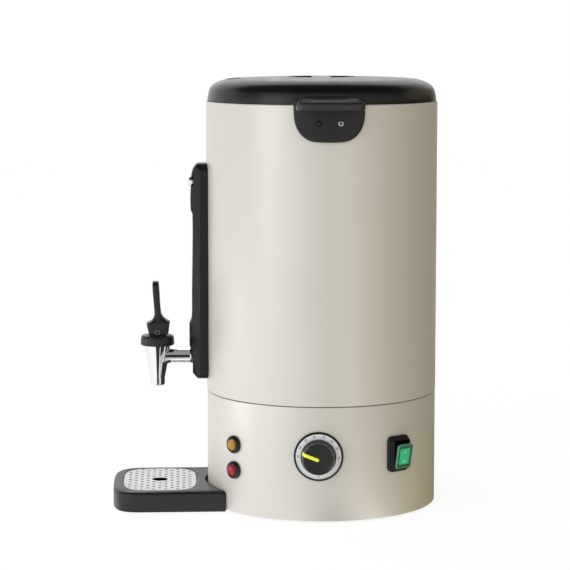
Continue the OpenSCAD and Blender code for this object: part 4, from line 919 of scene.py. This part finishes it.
def drive(ob, place, h):
    for w, l in ((0.62, 1.95), (1.95, 0.62)):
        b = bmesh.new()
        loft(b, [[place((x * s, y_ * s, hh)) for x, y_ in ((-w, -l), (w, -l), (w, l), (-w, l))] for hh, s in ((h - 1.1, 0.75), (h + 0.5, 1.05))])
        boolean(ob, obj_of(b, "tool"), angle=35)


# one screw of the near handle is near black and sits 0.3 mm deeper than the others
for az, y, nm, m, h in ((-90, 11, "screw_near_a", HEADMETAL, 123.5), (-90, -11, "screw_near_b", DARK_SCREW, 123.2), (90, 11, "screw_far_a", NICKEL, 123.5), (90, -11, "screw_far_b", NICKEL, 123.5)):
    b = bmesh.new()
    pl = screw_head(b, az, y, 402, h)
    ob = obj_of(b, nm, 35)
    drive(ob, pl, h)
    # painted shade: a cross of matt black plastic sits in each screw's drive recess, standing in for the shade inside
    # it
    b = bmesh.new()
    plus = [(0.6, 0.6), (1.9, 0.6), (1.9, -0.6), (0.6, -0.6), (0.6, -1.9), (-0.6, -1.9), (-0.6, -0.6), (-1.9, -0.6), (-1.9, 0.6), (-0.6, 0.6), (-0.6, 1.9), (0.6, 1.9)][::-1]
    plus = [(q[0] * 0.93, q[1] * 0.93) for q in plus]
    loft(b, [[pl((q[0], q[1], hh)) for q in plus] for hh in (h - 1.0, h - 0.22)])
    piece(obj_of(b, nm + "_drive_shade", 35), MATTE, "root", "bright_screw")
    if nm == "screw_near_a":
        piece(ob, m, "root", "bright_screw", "handle_screws")
    else:
        piece(ob, m, "root", "bright_screw")

# ------------------------------------------------------------------ nodes that stay as they are
for node, m in {
    "support_ring": MATTE, "base_plate": CAVITY, "foot_ring": RUBBER, "base_screws": ZINC, "base_nuts": ZINC, "inner_tank": TANK, "top_collar": SEAL,
    "heat_spreader": ALU, "heating_element": ELEMENT, "boil_dry_cutout": CERAMIC, "sensor_bulb": COPPER, "heat_shield": GALV, "thermostat_body": PHENOLIC,
    "thermostat_shaft": ALU, "lamp_nuts": MATTE, "cable_gland": MATTE, "gland_nut": MATTE, "terminal_block": NYLON, "internal_wiring": WIRE,
    "gauge_tube": GLASS, "gauge_window": GLASS, "gauge_seals": SILICONE, "gauge_tee": STEEL, "gauge_elbow": STEEL, "tap_nut": STEEL, "tap_washer": SILICONE,
    "valve_stem": STEEL, "seat_cup": SEAT, "handle_backplates": GALV, "lid_liner": STEEL, "lid_seal": SEAL, "lid_screws": ZINC,
}.items():
    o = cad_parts[node]
    o.data.materials.clear()
    o.data.materials.append(m)

# the valve spring keeps the CAD node's shape, in a mesh of its own; in the tap it is held at the top and shortens as
# the stem rises
coil = recast("valve_spring", "spring_coil", SPRING, "root", "spring_steel", 60)
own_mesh(coil)

# ------------------------------------------------------------------ stage and light
scene = bpy.context.scene
scene.view_settings.view_transform = "Standard"
scene.view_settings.look = "None"
scene.view_settings.exposure = 0
scene.view_settings.gamma = 1
FRONT = math.radians(-93.76)      # the side of the object that the studio's open side lies on


def ramp_of(nt, stops, interp="EASE"):
    """A colour ramp over the angle round the object, -180 (left and behind) to 180."""
    r = nt.nodes.new("ShaderNodeValToRGB")
    r.color_ramp.interpolation = interp
    els = r.color_ramp.elements
    while len(els) < len(stops):
        els.new(0.5)
    for e, (a, v) in zip(els, stops):
        e.position = (a + 180) / 360
        e.color = (*v, 1)
    return r


def math_node(nt, op, a, b=None, c=None, clamp=False):
    m = nt.nodes.new("ShaderNodeMath")
    m.operation = op
    m.use_clamp = clamp
    for i, v in enumerate((a, b, c)):
        if v is None:
            continue
        if isinstance(v, (int, float)):
            m.inputs[i].default_value = v
        else:
            nt.links.new(v, m.inputs[i])
    return m.outputs[0]


def round_angle(nt, vec):
    """0 to 1 round the object: 0.5 is the front, less is to its left."""
    mp = nt.nodes.new("ShaderNodeMapping")
    mp.inputs["Rotation"].default_value = (0, 0, -FRONT)
    nt.links.new(vec, mp.inputs["Vector"])
    sp = nt.nodes.new("ShaderNodeSeparateXYZ")
    nt.links.new(mp.outputs["Vector"], sp.inputs["Vector"])
    a = math_node(nt, "ARCTAN2", sp.outputs["Y"], sp.outputs["X"])
    return math_node(nt, "MULTIPLY_ADD", a, 1 / (2 * pi), 0.5), sp.outputs["Z"], sp.outputs["X"]


def mix_rgb(nt, fac, a, b):
    m = nt.nodes.new("ShaderNodeMix")
    m.data_type = "RGBA"
    if isinstance(fac, (int, float)):
        m.inputs["Factor"].default_value = fac
    else:
        nt.links.new(fac, m.inputs["Factor"])
    for k, v in ((6, a), (7, b)):
        if isinstance(v, tuple):
            m.inputs[k].default_value = (*v, 1)
        else:
            nt.links.new(v, m.inputs[k])
    return m.outputs[2]


def tint(v, w):
    """Light of strength v: w below 0 is cooler, above 0 warmer."""
    if w < 0:
        return (v * (1 + 0.02 * w), v, v * (1 - 0.07 * w))
    return (v, v * (1 - 0.075 * w), v * (1 - 0.27 * w))


LOW = [(-180, tint(1.0, 0)), (-140, tint(0.95, -0.2)), (-100, tint(0.98, -0.3)), (-60, tint(1.06, -0.8)), (-34, tint(0.98, -0.8)), (-14, tint(0.92, -0.4)), (6, tint(0.46, 0)), (26, tint(0.98, 0.3)), (46, tint(0.5, 1.1)),
       (62, tint(0.33, 2.4)), (95, tint(0.14, 2.9)), (135, tint(0.09, 2.8)), (158, tint(0.36, 1.2)), (172, tint(0.95, 0))]
HIGH = [(-180, tint(1.0, 0)), (-100, tint(0.95, -0.2)), (-50, tint(1.05, -0.2)), (0, tint(0.88, 0)), (60, tint(0.77, 0.4)), (100, tint(0.57, 0.9)), (140, tint(0.45, 0.9)), (170, tint(0.95, 0))]

world = bpy.data.worlds.new("studio")
scene.world = world
world.use_nodes = True
nt = world.node_tree
bg = nt.nodes["Background"]
tc = nt.nodes.new("ShaderNodeTexCoord")
ang, up, fore = round_angle(nt, tc.outputs["Generated"])
rl, rh = ramp_of(nt, LOW), ramp_of(nt, HIGH)
nt.links.new(ang, rl.inputs["Fac"])
nt.links.new(ang, rh.inputs["Fac"])


def step_between(nt, v, lo, hi):
    m = nt.nodes.new("ShaderNodeMapRange")
    m.interpolation_type = "SMOOTHSTEP"
    m.inputs["From Min"].default_value = lo
    m.inputs["From Max"].default_value = hi
    nt.links.new(v, m.inputs["Value"])
    return m.outputs["Result"]


sky = mix_rgb(nt, step_between(nt, up, 0.03, 0.26), rl.outputs["Color"], rh.outputs["Color"])
around = sky
sky = mix_rgb(nt, step_between(nt, up, 0.55, 0.85), sky, (0.08, 0.08, 0.08))
lp = nt.nodes.new("ShaderNodeLightPath")
# polished surfaces see the studio's dark ceiling, which reaches lower down in front than behind
back_up = math_node(nt, "MULTIPLY_ADD", math_node(nt, "MINIMUM", fore, 0.0), 0.65, up)
back_up = math_node(nt, "MULTIPLY_ADD", math_node(nt, "MAXIMUM", fore, 0.0), -0.25, back_up)
over = mix_rgb(nt, step_between(nt, back_up, 0.15, 0.4), around, (0.07, 0.07, 0.07))
sky = mix_rgb(nt, lp.outputs["Is Glossy Ray"], sky, over)
sky = mix_rgb(nt, lp.outputs["Is Camera Ray"], sky, (1.0, 1.0, 1.0))
nt.links.new(sky, bg.inputs["Color"])
bg.inputs["Strength"].default_value = 1.0

fm = bpy.data.materials.new("floor")
fm.use_nodes = True
nt = fm.node_tree
fb = nt.nodes["Principled BSDF"]
fb.inputs["Base Color"].default_value = (0.3, 0.3, 0.3, 1)
fb.inputs["Roughness"].default_value = 1.0
fb.inputs["Specular IOR Level"].default_value = 0.0
tc = nt.nodes.new("ShaderNodeTexCoord")
ang, up, fore = round_angle(nt, tc.outputs["Object"])
rl = ramp_of(nt, LOW)
nt.links.new(ang, rl.inputs["Fac"])
lp = nt.nodes.new("ShaderNodeLightPath")
glow = mix_rgb(nt, 0.12, rl.outputs["Color"], (0.0, 0.0, 0.0))
glow = mix_rgb(nt, lp.outputs["Is Camera Ray"], glow, (0.86, 0.86, 0.86))
nt.links.new(glow, fb.inputs["Emission Color"])
fb.inputs["Emission Strength"].default_value = 1.0
bm = bmesh.new()
vs = [bm.verts.new((x, y, 0)) for x, y in ((-9, -9), (9, -9), (9, 9), (-9, 9))]
bm.faces.new(vs)
me = bpy.data.meshes.new("floor")
bm.to_mesh(me)
bm.free()
floor = bpy.data.objects.new("floor", me)
scene.collection.objects.link(floor)
me.materials.append(fm)


def area(name, loc, target, size, power, color=(1, 1, 1), size_y=None):
    d = bpy.data.lights.new(name, "AREA")
    d.shape = "RECTANGLE"
    d.size = size
    d.size_y = size_y or size
    d.energy = power
    d.color = color
    o = bpy.data.objects.new(name, d)
    o.location = loc
    o.rotation_euler = (Vector(target) - Vector(loc)).to_track_quat("-Z", "Y").to_euler()
    scene.collection.objects.link(o)
    o.visible_camera = False
    return o


# dark flags close to the tap, which only polished surfaces see
dm = bpy.data.materials.new("flag_dark")
dm.use_nodes = True
dm.node_tree.nodes["Principled BSDF"].inputs["Base Color"].default_value = (0.004, 0.004, 0.004, 1)
dm.node_tree.nodes["Principled BSDF"].inputs["Roughness"].default_value = 1.0
dm.node_tree.nodes["Principled BSDF"].inputs["Specular IOR Level"].default_value = 0.0
dm.node_tree.nodes["Principled BSDF"].inputs["Emission Color"].default_value = (0.03, 0.03, 0.031, 1)
dm.node_tree.nodes["Principled BSDF"].inputs["Emission Strength"].default_value = 1.0
# only what is nearer than 32 mm sees them, so the body's paint doesn't
lpd = dm.node_tree.nodes.new("ShaderNodeLightPath")
near = dm.node_tree.nodes.new("ShaderNodeMath")
near.operation = "LESS_THAN"
near.inputs[1].default_value = 0.032
dm.node_tree.links.new(lpd.outputs["Ray Length"], near.inputs[0])
clear = dm.node_tree.nodes.new("ShaderNodeBsdfTransparent")
pick = dm.node_tree.nodes.new("ShaderNodeMixShader")
dm.node_tree.links.new(near.outputs[0], pick.inputs[0])
dm.node_tree.links.new(clear.outputs[0], pick.inputs[1])
dm.node_tree.links.new(dm.node_tree.nodes["Principled BSDF"].outputs[0], pick.inputs[2])
dm.node_tree.links.new(pick.outputs[0], dm.node_tree.nodes["Material Output"].inputs["Surface"])
bm = bmesh.new()
fa = FRONT + math.radians(6.2)
fx, fy = -0.172 + 0.024 * math.cos(fa), 0.024 * math.sin(fa)
tx_, ty_ = -math.sin(fa) * 0.0054, math.cos(fa) * 0.0054
bm.faces.new([bm.verts.new(v) for v in ((fx - tx_, fy - ty_, 0.112), (fx + tx_, fy + ty_, 0.112), (fx + tx_, fy + ty_, 0.1655), (fx - tx_, fy - ty_, 0.1655))])
bm.faces.new([bm.verts.new(v) for v in ((-0.158, -0.015, 0.110), (-0.158, 0.013, 0.110), (-0.158, 0.013, 0.1442), (-0.158, -0.015, 0.1442))])
# beside the shank: a dark card in front of it and a grey one above
bm.faces.new([bm.verts.new(v) for v in ((-0.163, -0.024, 0.1470), (-0.137, -0.024, 0.1470), (-0.137, -0.024, 0.1635), (-0.163, -0.024, 0.1635))])
grey = bm.faces.new([bm.verts.new(v) for v in ((-0.163, -0.024, 0.1637), (-0.137, -0.024, 0.1637), (-0.137, 0.004, 0.182), (-0.163, 0.004, 0.182))])
grey.material_index = 1
grey = bm.faces.new([bm.verts.new(v) for v in ((-0.163, -0.024, 0.1375), (-0.137, -0.024, 0.1375), (-0.137, -0.024, 0.1468), (-0.163, -0.024, 0.1468))])
grey.material_index = 2
me = bpy.data.meshes.new("flag")
bm.to_mesh(me)
bm.free()
flag = bpy.data.objects.new("flag", me)
scene.collection.objects.link(flag)
me.materials.append(dm)
gm = dm.copy()
gm.name = "flag_grey"
gm.node_tree.nodes["Principled BSDF"].inputs["Emission Color"].default_value = (0.3, 0.3, 0.3, 1)
me.materials.append(gm)
gm = gm.copy()
gm.name = "flag_pale"
gm.node_tree.nodes["Principled BSDF"].inputs["Emission Color"].default_value = (0.5, 0.5, 0.5, 1)
me.materials.append(gm)
flag.visible_camera = flag.visible_diffuse = flag.visible_shadow = flag.visible_transmission = flag.visible_volume_scatter = False

area("key_left", (-1.9, -1.5, 0.7), (0, 0, 0.25), 1.2, 6, (0.97, 0.99, 1.0), 1.6)
tray_light = area("tray_top", (-0.25, 0.4, 0.55), (-0.185, 0, 0.03), 0.12, 0.018)
tray_light.data.spread = math.radians(26)
low_left = area("low_left", (-1.5, -0.06, 0.22), (-0.11, -0.03, 0.1), 0.15, 0.018)
low_left.data.spread = math.radians(14)
